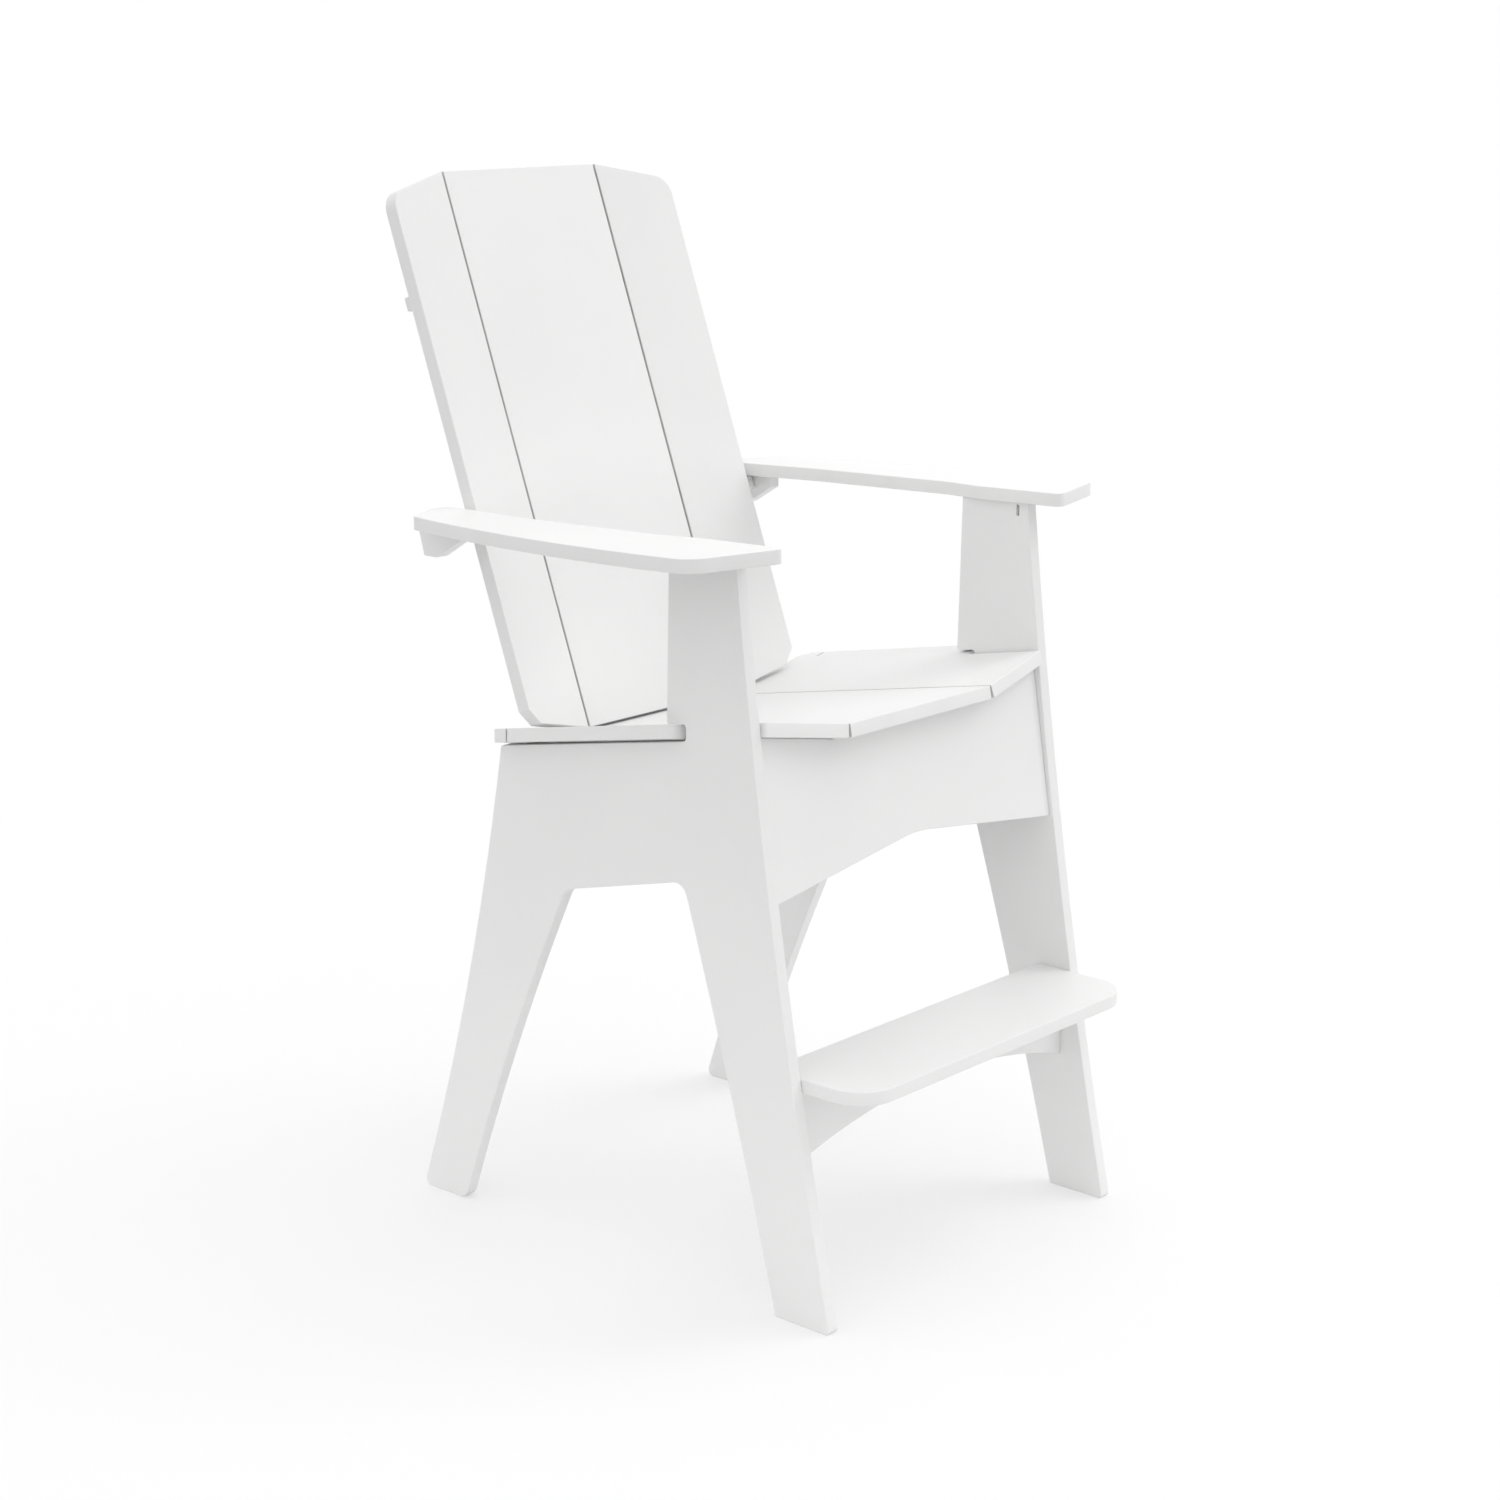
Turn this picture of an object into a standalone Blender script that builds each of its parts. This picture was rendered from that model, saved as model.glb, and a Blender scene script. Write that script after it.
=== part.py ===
"""Bar-height adirondack chair made of flat sheet boards, in metres, +Z up, front at -Y.

Depths run rearward from the toe of the front feet, heights run up from the floor, and the
chair is the same on both sides of X = 0. The sitter's right is at -X.
"""

import math

import bmesh
import bpy
from mathutils import Euler, Matrix, Vector

# Sheet, clearances and edges
SHEET = 0.019
GAP = 0.0003
EASED_EDGE = 0.0012
SMALL_ROUND = 0.003
ARC_STEPS = 9
FILLET_STEPS = 5
FILLET_SHARE = 0.98

# Side panels: front leg, rear leg, shoulder and arm post in one board
WIDTH_OVER_PANELS = 0.635
POST_FRONT = 0.163
POST_WIDTH = 0.116
FRONT_EDGE_HOLLOW = 0.0145
TOE_ROUND = 0.006
FRONT_FOOT_LENGTH = 0.094
FRONT_LEG_HOLLOW = 0.0045
LEG_GAP_FRONT = 0.257
LEG_GAP_FRONT_HEIGHT = 0.5685
LEG_GAP_FRONT_ROUND = 0.020
LEG_GAP_REAR = 0.478
LEG_GAP_REAR_HEIGHT = 0.514
LEG_GAP_REAR_ROUND = 0.026
REAR_FOOT_FRONT = 0.695
REAR_FOOT_LENGTH = 0.089
REAR_FOOT_ROUND = 0.020
HEEL_ROUND = 0.010
REAR_LEG_HOLLOW = 0.0085
REAR_EDGE_HOLLOW = 0.0150
SHOULDER_INSET = 0.0042
SLOT_REACH = 0.0285
SLOT_CLEARANCE = 0.0008
SLOT_ROUND = 0.007

# Planks of the seat and the back
SEAM = 0.152
SEAM_GAP = 0.003

# Seat
SEAT_FRONT = 0.112
SEAT_HEIGHT = 0.7764
SEAT_SLOPE = math.radians(10.15)
SEAT_DISH = math.radians(10.65)
SEAT_LENGTH = 0.500
SEAT_SWEEP = 0.0155
EAR_OVERHANG = 0.0185
EAR_REAR_INSET = 0.0368
EAR_FRONT_ROUND = 0.014
EAR_KERF = 0.003
EAR_KERF_ROUND = 0.0008
EAR_BLOCK = 0.0208
HEEL_OVERHANG = 0.0025

# Back
BACK_FOOT_INSET = 0.0121
BACK_FOOT_GAP = 0.0043
BACK_RECLINE = math.radians(20.06)
BACK_TURN = math.radians(11.0)
BACK_LENGTH = 0.8161
BACK_EDGE_INSET = 0.0207
BACK_TOP_FALL = math.radians(15.2)
BACK_TOP_ROUND = 0.032
BACK_FOOT_RISE = math.radians(10.7)
BACK_FOOT_CUT = 0.019

# Arms: across, from the panels, and lengthwise, from the post and from the back
ARM_HEIGHT = 1.0305
ARM_SLOPE = math.radians(1.364)
ARM_INNER_LAP = 0.0075
ARM_WAIST_INSET = 0.011
ARM_FRONT_OVERHANG = 0.1116
ARM_REAR_OVERHANG = 0.0625
ARM_TAIL_OVERHANG = 0.0075
ARM_OUTER_BULGE = 0.0215
ARM_FRONT_REACH = 0.0628
ARM_FRONT_SWEEP = 0.040
ARM_WAIST_START = 0.031
ARM_WAIST_EASE = 0.060
ARM_WAIST_END = 0.148
ARM_REAR_REACH = 0.0092
ARM_TAIL_REACH = 0.0223
ARM_TAIL_SLANT = 0.002
ARM_FRONT_ROUND = 0.039
ARM_CORNER_ROUND = 0.011
ARM_TAIL_ROUND = 0.018
ARM_WAIST_ROUND = 0.300

# Arm brackets, under the arms beside the back
BRACKET_LAP = 0.0055
BRACKET_FRONT_REACH = 0.0492
BRACKET_KNEE_REACH = 0.0022
BRACKET_REAR_REACH = 0.0248
BRACKET_REAR_LEAN = 0.0125
BRACKET_FRONT_HEIGHT = 0.0185
BRACKET_HEIGHT = 0.045
BRACKET_ROUND = 0.015

# Boards behind the back, measured up along the back from its foot
YOKE_DEPTH = 0.045
UPPER_YOKE_RISE = 0.6216
UPPER_YOKE_END_DEPTH = 0.0125
MIDDLE_YOKE_DROP = 0.0042
MIDDLE_YOKE_END_DEPTH = 0.0407
LOWER_YOKE_RISE = 0.0316
LOWER_YOKE_INSET = 0.043
LOWER_YOKE_END_DEPTH = 0.022
LOWER_RAIL_DROP = 0.1134
LOWER_RAIL_STEP = 0.0584
LOWER_RAIL_INSET = 0.098
LOWER_RAIL_ROUND = 0.020

# Boards under the seat
APRON_SETBACK = 0.0295
APRON_TILT = math.radians(9.0)
APRON_DROP = 0.194
APRON_PEAK = 0.039
APRON_PEAK_ROUND = 0.2
REAR_RAIL_INSET = 0.063
REAR_RAIL_DROP = 0.070

# Footrest
FOOTREST_FRONT = -0.041
FOOTREST_DEPTH = 0.166
FOOTREST_HEIGHT = 0.335
FOOTREST_ROUND = 0.055
STRETCHER_SETBACK = 0.123
STRETCHER_HEIGHT = 0.110
STRETCHER_ARCH = 0.045

# Screws
YOKE_SHANK_RADIUS = 0.0025
YOKE_HEAD_RADIUS = 0.0045
POST_SHANK_RADIUS = 0.0015
POST_HEAD_RADIUS = 0.0022
HEAD_HEIGHT = 0.003
HEAD_CLEARANCE = 0.0015
SCREW_BITE = 0.012
YOKE_SCREW_SHARE = 0.5
HEAD_SINK = 0.006
ROUND_SIDES = 20
POCKET_SETBACK = 0.017
POCKET_CLEARANCE = 0.0006
POCKET_TOP_WALL = 0.003
POCKET_HEIGHT = 0.016
POCKET_SCREW_INSET = 0.004

# Colours
SHEET_COLOUR = (0.86, 0.86, 0.85, 1.0)
STEEL_COLOUR = (0.62, 0.62, 0.61, 1.0)

# Sizes that follow from the ones above
PANEL_OUTER = WIDTH_OVER_PANELS / 2
PANEL_INNER = PANEL_OUTER - SHEET
BETWEEN_PANELS = PANEL_INNER - GAP
POST_REAR = POST_FRONT + POST_WIDTH
SLOT_END = POST_REAR - SLOT_REACH
SEAT_RUN = SEAT_LENGTH * math.cos(SEAT_SLOPE)
SEAT_REAR = SEAT_FRONT + SEAT_RUN
BACK_FOOT = SEAT_REAR - BACK_FOOT_INSET
BACK_FOOT_HEIGHT = (
    SEAT_HEIGHT - (BACK_FOOT - SEAT_FRONT) * math.tan(SEAT_SLOPE) + BACK_FOOT_GAP
)
BACK_EDGE = PANEL_INNER - BACK_EDGE_INSET
BACK_WING = (BACK_EDGE - SEAM) / math.cos(BACK_TURN)
BACK_REAR = (
    BACK_FOOT
    + (BACK_LENGTH - EASED_EDGE) * math.sin(BACK_RECLINE)
    + SHEET * math.cos(BACK_RECLINE)
)
BACK_AT_ARMS = BACK_FOOT + (ARM_HEIGHT - SHEET - BACK_FOOT_HEIGHT) * math.tan(BACK_RECLINE)
BRACKET_INNER = PANEL_OUTER - BRACKET_LAP
MID_DEPTH = (FOOTREST_FRONT + BACK_REAR) / 2
MIDDLE_YOKE_TOP = (
    ARM_HEIGHT
    - SHEET / math.cos(ARM_SLOPE)
    - BACK_AT_ARMS * math.tan(ARM_SLOPE)
    - MIDDLE_YOKE_DROP
)
MIDDLE_YOKE_RISE = (MIDDLE_YOKE_TOP - BACK_FOOT_HEIGHT) / math.cos(BACK_RECLINE) - SHEET

# Sides of the chair, and each yoke's rise, half length and depth at its ends
RIGHT = -1
CENTRE = 0
LEFT = 1
SIDES = {"right": RIGHT, "left": LEFT}
YOKES = {
    "upper": (UPPER_YOKE_RISE, BACK_EDGE, UPPER_YOKE_END_DEPTH),
    "middle": (MIDDLE_YOKE_RISE, BRACKET_INNER - GAP, MIDDLE_YOKE_END_DEPTH),
    "lower": (LOWER_YOKE_RISE, BACK_EDGE - LOWER_YOKE_INSET, LOWER_YOKE_END_DEPTH),
}


def arc_between(start, end, bow):
    """Return the point and tangent functions and the length of an arc that bows left by `bow`."""
    chord = end - start
    length = chord.length
    along = chord / length
    left = Vector((-along.y, along.x))
    if abs(bow) < 1e-9:
        return (lambda t: start + chord * t), (lambda t: along), length
    half_angle = 2 * math.atan2(2 * bow, length)
    radius = length / (2 * math.sin(half_angle))
    centre = (start + end) / 2 + left * (bow - radius)

    def point(t):
        angle = half_angle * (1 - 2 * t)
        return centre + radius * (left * math.cos(angle) - along * math.sin(angle))

    def tangent(t):
        angle = half_angle * (1 - 2 * t)
        return along * math.cos(angle) + left * math.sin(angle)

    return point, tangent, abs(2 * half_angle * radius)


def fillets(corners, edges):
    """Return each corner's fillet radius, trim and turn, with fillets limited by their edges."""
    count = len(corners)
    turns = [
        abs(edges[i - 1][1](1.0).angle_signed(edges[i][1](0.0))) for i in range(count)
    ]
    trims = [corners[i][2] * math.tan(turns[i] / 2) for i in range(count)]
    limits = [1.0] * count
    for i in range(count):
        after = (i + 1) % count
        wanted = trims[i] + trims[after]
        if wanted > FILLET_SHARE * edges[i][2]:
            limit = FILLET_SHARE * edges[i][2] / wanted
            limits[i] = min(limits[i], limit)
            limits[after] = min(limits[after], limit)
    return [
        (corners[i][2] * limits[i], trims[i] * limits[i], turns[i]) for i in range(count)
    ]


def outline(corners):
    """Return the points of a closed outline, walked with its inside on the left.

    Each corner is (x, y, fillet radius, bow of the edge that leaves it), where a positive bow
    hollows the edge toward the inside.
    """
    spots = [Vector(corner[:2]) for corner in corners]
    count = len(corners)
    edges = [
        arc_between(spots[i], spots[(i + 1) % count], corners[i][3]) for i in range(count)
    ]
    rounds = fillets(corners, edges)
    points = []
    for i in range(count):
        point, tangent, length = edges[i]
        radius, trim, turn = rounds[i]
        first = trim / length
        last = 1.0 - rounds[(i + 1) % count][1] / length
        if radius > 0:
            before, before_tangent, before_length = edges[i - 1]
            t = 1.0 - trim / before_length
            handle = 4 / 3 * math.tan(turn / 4) * radius
            a = before(t)
            b = a + before_tangent(t) * handle
            d = point(first)
            c = d - tangent(first) * handle
            for step in range(1, FILLET_STEPS):
                s = step / FILLET_STEPS
                r = 1 - s
                points.append(a * r**3 + b * 3 * r * r * s + c * 3 * r * s * s + d * s**3)
        steps = ARC_STEPS if corners[i][3] else 1
        stops = range(steps + 1) if rounds[(i + 1) % count][0] > 0 else range(steps)
        for step in stops:
            points.append(point(first + (last - first) * step / steps))
    return points


def mirrored(points):
    """Return an outline turned over in x, still walked with its inside on the left."""
    return [Vector((-p.x, p.y)) for p in reversed(points)]


def sided(points, side):
    """Return an outline drawn for the left side, for either side."""
    return points if side == LEFT else mirrored(points)


def new_material(name, colour, roughness, metallic):
    """Return a material with a Principled BSDF of one colour."""
    material = bpy.data.materials.new(name)
    material.use_nodes = True
    shader = material.node_tree.nodes["Principled BSDF"]
    shader.inputs["Base Color"].default_value = colour
    shader.inputs["Roughness"].default_value = roughness
    shader.inputs["Metallic"].default_value = metallic
    return material


def new_collection(name):
    """Return a new collection linked to the scene."""
    collection = bpy.data.collections.new(name)
    bpy.context.scene.collection.children.link(collection)
    return collection


def frame_empty(name, collection, parent, location, tilt):
    """Return an empty turned about X, for boards that are placed in its frame."""
    empty = bpy.data.objects.new(name, None)
    collection.objects.link(empty)
    empty.parent = parent
    empty.location = location
    empty.rotation_euler = Euler((tilt, 0, 0))
    return empty


def board(name, points, placement, parent, collection):
    """Return a sheet board of an outline, with eased edges, centred on its placement's plane."""
    curve = bpy.data.curves.new(name, "CURVE")
    curve.dimensions = "2D"
    curve.fill_mode = "BOTH"
    curve.extrude = SHEET / 2 - EASED_EDGE
    curve.bevel_depth = EASED_EDGE
    curve.bevel_resolution = 0
    curve.offset = -EASED_EDGE
    spline = curve.splines.new("POLY")
    spline.points.add(len(points) - 1)
    for spot, point in zip(spline.points, points):
        spot.co = (point.x, point.y, 0, 1)
    spline.use_cyclic_u = True
    drawn = bpy.data.objects.new(name + "_outline", curve)
    collection.objects.link(drawn)
    bpy.context.view_layer.update()
    evaluated = drawn.evaluated_get(bpy.context.evaluated_depsgraph_get())
    mesh = bpy.data.meshes.new_from_object(evaluated)
    bpy.data.objects.remove(drawn)
    mesh.name = name
    shape = bmesh.new()
    shape.from_mesh(mesh)
    bmesh.ops.remove_doubles(shape, verts=shape.verts, dist=1e-6)
    bmesh.ops.recalc_face_normals(shape, faces=shape.faces)
    shape.to_mesh(mesh)
    shape.free()
    mesh.materials.clear()
    mesh.materials.append(new_material(name, SHEET_COLOUR, 0.5, 0.0))
    piece = bpy.data.objects.new(name, mesh)
    collection.objects.link(piece)
    piece.parent = parent
    piece.matrix_local = placement
    return piece


def turned(name, profile, collection, matrix):
    """Return an object turned about its Z axis from a profile of (radius, height) points."""
    mesh = bpy.data.meshes.new(name)
    corners = [(radius, 0, height) for radius, height in profile]
    mesh.from_pydata(corners, [(i, i + 1) for i in range(len(corners) - 1)], [])
    piece = bpy.data.objects.new(name, mesh)
    collection.objects.link(piece)
    piece.matrix_world = matrix
    spin = piece.modifiers.new("Turn", "SCREW")
    spin.axis = "Z"
    spin.steps = ROUND_SIDES
    spin.render_steps = ROUND_SIDES
    spin.use_merge_vertices = True
    spin.merge_threshold = 0.00001
    return piece


def box(name, size, collection, location):
    """Return a plain box."""
    mesh = bpy.data.meshes.new(name)
    shape = bmesh.new()
    bmesh.ops.create_cube(shape, size=1.0)
    bmesh.ops.scale(shape, vec=Vector(size), verts=shape.verts)
    shape.to_mesh(mesh)
    shape.free()
    piece = bpy.data.objects.new(name, mesh)
    collection.objects.link(piece)
    piece.location = location
    return piece


def cut(piece, cutter):
    """Take a cutter's volume out of a board."""
    cutter.hide_render = True
    cutter.display_type = "WIRE"
    hole = piece.modifiers.new(cutter.name, "BOOLEAN")
    hole.operation = "DIFFERENCE"
    hole.solver = "EXACT"
    hole.object = cutter


def depth_to_y(depth):
    """Return the world Y of a depth behind the toe."""
    return depth - MID_DEPTH


def arm_underside(depth):
    """Return the height of the arms' underside at a depth."""
    return ARM_HEIGHT - depth * math.tan(ARM_SLOPE) - SHEET / math.cos(ARM_SLOPE)


def seat_plank_matrix(side):
    """Return a seat plank's placement in the seat's frame."""
    dish = Matrix.Rotation(-side * SEAT_DISH, 4, "Y")
    hinge = Matrix.Translation((side * SEAM, 0, 0))
    return hinge @ dish @ Matrix.Translation((0, 0, -SHEET / 2))


def back_plank_matrix(side):
    """Return a back plank's placement in the back's frame."""
    turn = Matrix.Rotation(-side * BACK_TURN, 4, "Y")
    hinge = Matrix.Translation((side * SEAM, 0, 0))
    return hinge @ turn @ Matrix.Translation((0, 0, -SHEET / 2))


def up_to_underside(plank, frame, x, z):
    """Return how far up, at x and z in a frame, a plank's underside is.

    `plank` and `frame` are world matrices, and the frame's y is the way up.
    """
    to_plank = plank.inverted() @ frame
    low = to_plank @ Vector((x, 0, z))
    high = to_plank @ Vector((x, 1, z))
    return (-SHEET / 2 - low.z) / (high.z - low.z)


def along_plank(plank, depth, x, z):
    """Return how far along a seat plank a depth is, at x and z in the plank's frame."""
    start = plank @ Vector((x, 0, z))
    return (depth_to_y(depth) - start.y) / plank[1][1]


def board_frame(depth, height, tilt):
    """Return the world matrix of an upright board's front face: x across, y up, z forward."""
    place = Matrix.Translation((0, depth_to_y(depth), height))
    return place @ Matrix.Rotation(math.pi / 2 - tilt, 4, "X")


def shoulder_height(depth, side_plank):
    """Return the height at a depth that clears the side plank above the panel's inner face."""
    return up_to_underside(side_plank, board_frame(depth, 0, 0), PANEL_INNER, 0) - GAP


def panel_points(side_plank):
    """Return the side panel's outline in depth and height."""
    slot_floor = shoulder_height(SLOT_END, side_plank)
    plank_height = SHEET / (math.cos(SEAT_SLOPE) * math.cos(SEAT_DISH))
    plank_rise = SHEET * math.tan(SEAT_DISH) / math.cos(SEAT_SLOPE)
    slot_top = slot_floor + GAP + plank_height + plank_rise + SLOT_CLEARANCE
    post_top_rear = arm_underside(POST_REAR) - GAP
    fall, lean = math.tan(SEAT_SLOPE), math.tan(ARM_SLOPE)
    mouth_fall = (POST_REAR - SLOT_END + (post_top_rear - slot_top) * lean) * fall
    mouth_top = slot_top - mouth_fall / (1 - fall * lean)
    mouth = POST_REAR + (post_top_rear - mouth_top) * lean
    heel = REAR_FOOT_FRONT + REAR_FOOT_LENGTH
    shoulder_rear = SEAT_REAR - SHOULDER_INSET
    return outline(
        [
            (0, 0, TOE_ROUND, 0),
            (FRONT_FOOT_LENGTH, 0, SMALL_ROUND, FRONT_LEG_HOLLOW),
            (LEG_GAP_FRONT, LEG_GAP_FRONT_HEIGHT, LEG_GAP_FRONT_ROUND, 0),
            (LEG_GAP_REAR, LEG_GAP_REAR_HEIGHT, LEG_GAP_REAR_ROUND, REAR_LEG_HOLLOW),
            (REAR_FOOT_FRONT, 0, REAR_FOOT_ROUND, 0),
            (heel, 0, HEEL_ROUND, REAR_EDGE_HOLLOW),
            (shoulder_rear, shoulder_height(shoulder_rear, side_plank), SMALL_ROUND, 0),
            (SLOT_END, slot_floor, SLOT_ROUND, 0),
            (SLOT_END, slot_top, SLOT_ROUND, 0),
            (mouth, mouth_top, SMALL_ROUND, 0),
            (POST_REAR, post_top_rear, 0, 0),
            (POST_FRONT, arm_underside(POST_FRONT) - GAP, 0, FRONT_EDGE_HOLLOW),
        ]
    )


def seat_side_points(side_plank):
    """Return the left seat plank's outline, x outward from its seam and y rearward.

    It passes through the slot at the post's foot, and behind the slot its ear overhangs the
    panel. A kerf parts the ear from a short block, which runs slantwise to the plank's heel.
    """
    lean = SHEET * math.sin(SEAT_DISH)
    inner = (BETWEEN_PANELS - SEAM - lean) / math.cos(SEAT_DISH)
    flush = (PANEL_OUTER - SEAM) / math.cos(SEAT_DISH)
    ear = flush + EAR_OVERHANG / math.cos(SEAT_DISH)
    heel = flush + HEEL_OVERHANG / math.cos(SEAT_DISH)
    edge = SEAM_GAP / 2
    slot = along_plank(side_plank, SLOT_END + SLOT_ROUND + GAP, inner, -SHEET / 2)
    ear_rear = along_plank(side_plank, SEAT_REAR - EAR_REAR_INSET, ear, SHEET / 2)
    block_front = ear_rear + EAR_KERF
    block_rear = block_front + EAR_BLOCK
    return outline(
        [
            (edge, 0, 0, 0),
            (inner, SEAT_SWEEP, SMALL_ROUND, 0),
            (inner, slot, SMALL_ROUND, 0),
            (ear, slot, EAR_FRONT_ROUND, 0),
            (ear, ear_rear, EAR_KERF_ROUND, 0),
            (flush, ear_rear, EAR_KERF_ROUND, 0),
            (flush, block_front, EAR_KERF_ROUND, 0),
            (ear, block_front, EAR_KERF_ROUND, 0),
            (ear, block_rear, SMALL_ROUND, 0),
            (heel, SEAT_LENGTH, SMALL_ROUND, 0),
            (edge, SEAT_LENGTH, 0, 0),
        ]
    )


def plank_points(half_width, length):
    """Return a straight centre plank's outline."""
    return outline(
        [
            (-half_width, 0, 0, 0),
            (half_width, 0, 0, 0),
            (half_width, length, 0, 0),
            (-half_width, length, 0, 0),
        ]
    )


def back_side_points():
    """Return the left back plank's outline, x outward from its seam and y up the back."""
    edge = SEAM_GAP / 2
    foot_cut = BACK_WING - BACK_FOOT_CUT
    return outline(
        [
            (edge, 0, 0, 0),
            (foot_cut, foot_cut * math.tan(BACK_FOOT_RISE), SMALL_ROUND, 0),
            (BACK_WING, BACK_WING * math.tan(BACK_FOOT_RISE) + BACK_FOOT_CUT, SMALL_ROUND, 0),
            (BACK_WING, BACK_LENGTH - BACK_WING * math.tan(BACK_TOP_FALL), BACK_TOP_ROUND, 0),
            (edge, BACK_LENGTH, 0, 0),
        ]
    )


def arm_points():
    """Return the left arm's outline in x and depth."""
    inner = PANEL_INNER - ARM_INNER_LAP
    waist = inner + ARM_WAIST_INSET
    front = POST_FRONT - ARM_FRONT_REACH
    waist_front = POST_REAR + ARM_WAIST_START
    waist_rear = BACK_AT_ARMS - ARM_WAIST_END
    tail = BACK_AT_ARMS + ARM_TAIL_REACH
    return outline(
        [
            (inner, front, ARM_CORNER_ROUND, 0),
            (
                PANEL_OUTER + ARM_FRONT_OVERHANG,
                front + ARM_FRONT_SWEEP,
                ARM_FRONT_ROUND,
                -ARM_OUTER_BULGE,
            ),
            (
                PANEL_OUTER + ARM_REAR_OVERHANG,
                BACK_AT_ARMS - ARM_REAR_REACH,
                ARM_CORNER_ROUND,
                0,
            ),
            (PANEL_OUTER + ARM_TAIL_OVERHANG, tail - ARM_TAIL_SLANT, ARM_TAIL_ROUND, 0),
            (inner, tail, ARM_TAIL_ROUND, 0),
            (inner, waist_rear + 2 * ARM_WAIST_EASE, ARM_WAIST_ROUND, 0),
            (waist, waist_rear, ARM_WAIST_ROUND, 0),
            (waist, waist_front, ARM_WAIST_ROUND / 2, 0),
            (inner, waist_front - ARM_WAIST_EASE, ARM_WAIST_ROUND / 2, 0),
        ]
    )


def bracket_points():
    """Return an arm bracket's outline in depth and height."""
    front = BACK_AT_ARMS - BRACKET_FRONT_REACH
    front_top = arm_underside(front) - GAP
    rear = BACK_AT_ARMS + BRACKET_REAR_REACH
    bottom = arm_underside(rear) - BRACKET_HEIGHT
    rear_top = rear + BRACKET_REAR_LEAN
    return outline(
        [
            (front, front_top - BRACKET_FRONT_HEIGHT, SMALL_ROUND, 0),
            (BACK_AT_ARMS - BRACKET_KNEE_REACH, bottom, BRACKET_ROUND, 0),
            (rear, bottom, SMALL_ROUND, 0),
            (rear_top, arm_underside(rear_top) - GAP, 0, 0),
            (front, front_top, 0, 0),
        ]
    )


def wing_rear(x):
    """Return how far behind the back's front plane a side plank's rear face is at x."""
    return (SHEET + GAP) / math.cos(BACK_TURN) - math.tan(BACK_TURN) * (x - SEAM)


def wing_x(rear):
    """Return the x at which a side plank's rear face is that far behind the front plane."""
    return SEAM + ((SHEET + GAP) / math.cos(BACK_TURN) - rear) / math.tan(BACK_TURN)


def yoke_end_rear(end, end_depth):
    """Return how far behind the back's front plane a yoke's ends reach."""
    return wing_rear(min(end, BACK_EDGE)) + end_depth


def yoke_points(end, end_depth):
    """Return a yoke's outline, x across and y rearward from the back's front plane.

    Its front edge follows the rear faces of the three planks, past which it runs straight out
    to its ends, and its rear edge is one arc.
    """
    centre = SHEET + GAP
    knee = wing_x(centre)
    end_front = wing_rear(min(end, BACK_EDGE))
    end_rear = yoke_end_rear(end, end_depth)
    bulge = centre + YOKE_DEPTH - end_rear
    right_side = [(-end, end_front, SMALL_ROUND, 0)]
    left_side = [(end, end_front, SMALL_ROUND, 0)]
    if end > BACK_EDGE + SMALL_ROUND:
        right_side.append((-BACK_EDGE, end_front, 0, 0))
        left_side.insert(0, (BACK_EDGE, end_front, 0, 0))
    return outline(
        right_side
        + [(-knee, centre, 0, 0), (knee, centre, 0, 0)]
        + left_side
        + [(end, end_rear, SMALL_ROUND, -bulge), (-end, end_rear, SMALL_ROUND, 0)]
    )


def yoke_rear(x, end, end_depth):
    """Return how far behind the back's front plane a yoke's rear edge is at x."""
    rear = SHEET + GAP + YOKE_DEPTH
    bulge = rear - yoke_end_rear(end, end_depth)
    radius = (end * end + bulge * bulge) / (2 * bulge)
    return rear - radius + math.sqrt(radius * radius - x * x)


def lower_rail_points():
    """Return the lower back rail's outline, x across and y up the back."""
    top = LOWER_YOKE_RISE - GAP
    neck = BETWEEN_PANELS - LOWER_RAIL_INSET
    return outline(
        [
            (-BETWEEN_PANELS, -LOWER_RAIL_DROP, 0, 0),
            (BETWEEN_PANELS, -LOWER_RAIL_DROP, 0, 0),
            (BETWEEN_PANELS, -LOWER_RAIL_STEP, SMALL_ROUND, 0),
            (neck, -LOWER_RAIL_STEP, LOWER_RAIL_ROUND, 0),
            (neck, top, 0, 0),
            (-neck, top, 0, 0),
            (-neck, -LOWER_RAIL_STEP, LOWER_RAIL_ROUND, 0),
            (-BETWEEN_PANELS, -LOWER_RAIL_STEP, SMALL_ROUND, 0),
        ]
    )


def under_seat_points(frame, centre_plank, side_plank, drop, peak):
    """Return the outline of a board whose top follows the undersides of the seat planks.

    Its lower edge rises from both ends to a rounded peak in the middle, or is straight without one.
    """

    def top_under(plank, x):
        return min(up_to_underside(plank, frame, x, z) for z in (0, -SHEET)) - GAP

    flat = top_under(centre_plank, 0)
    outer = top_under(side_plank, BETWEEN_PANELS)
    inner = top_under(side_plank, SEAM)
    rise = (outer - inner) / (BETWEEN_PANELS - SEAM)
    knee = SEAM + (flat - inner) / rise
    middle = [(0, peak - drop, APRON_PEAK_ROUND, 0)] if peak else []
    return outline(
        [
            (-BETWEEN_PANELS, -drop, 0, 0),
            *middle,
            (BETWEEN_PANELS, -drop, 0, 0),
            (BETWEEN_PANELS, outer, 0, 0),
            (knee, flat, 0, 0),
            (-knee, flat, 0, 0),
            (-BETWEEN_PANELS, outer, 0, 0),
        ]
    )


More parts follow.
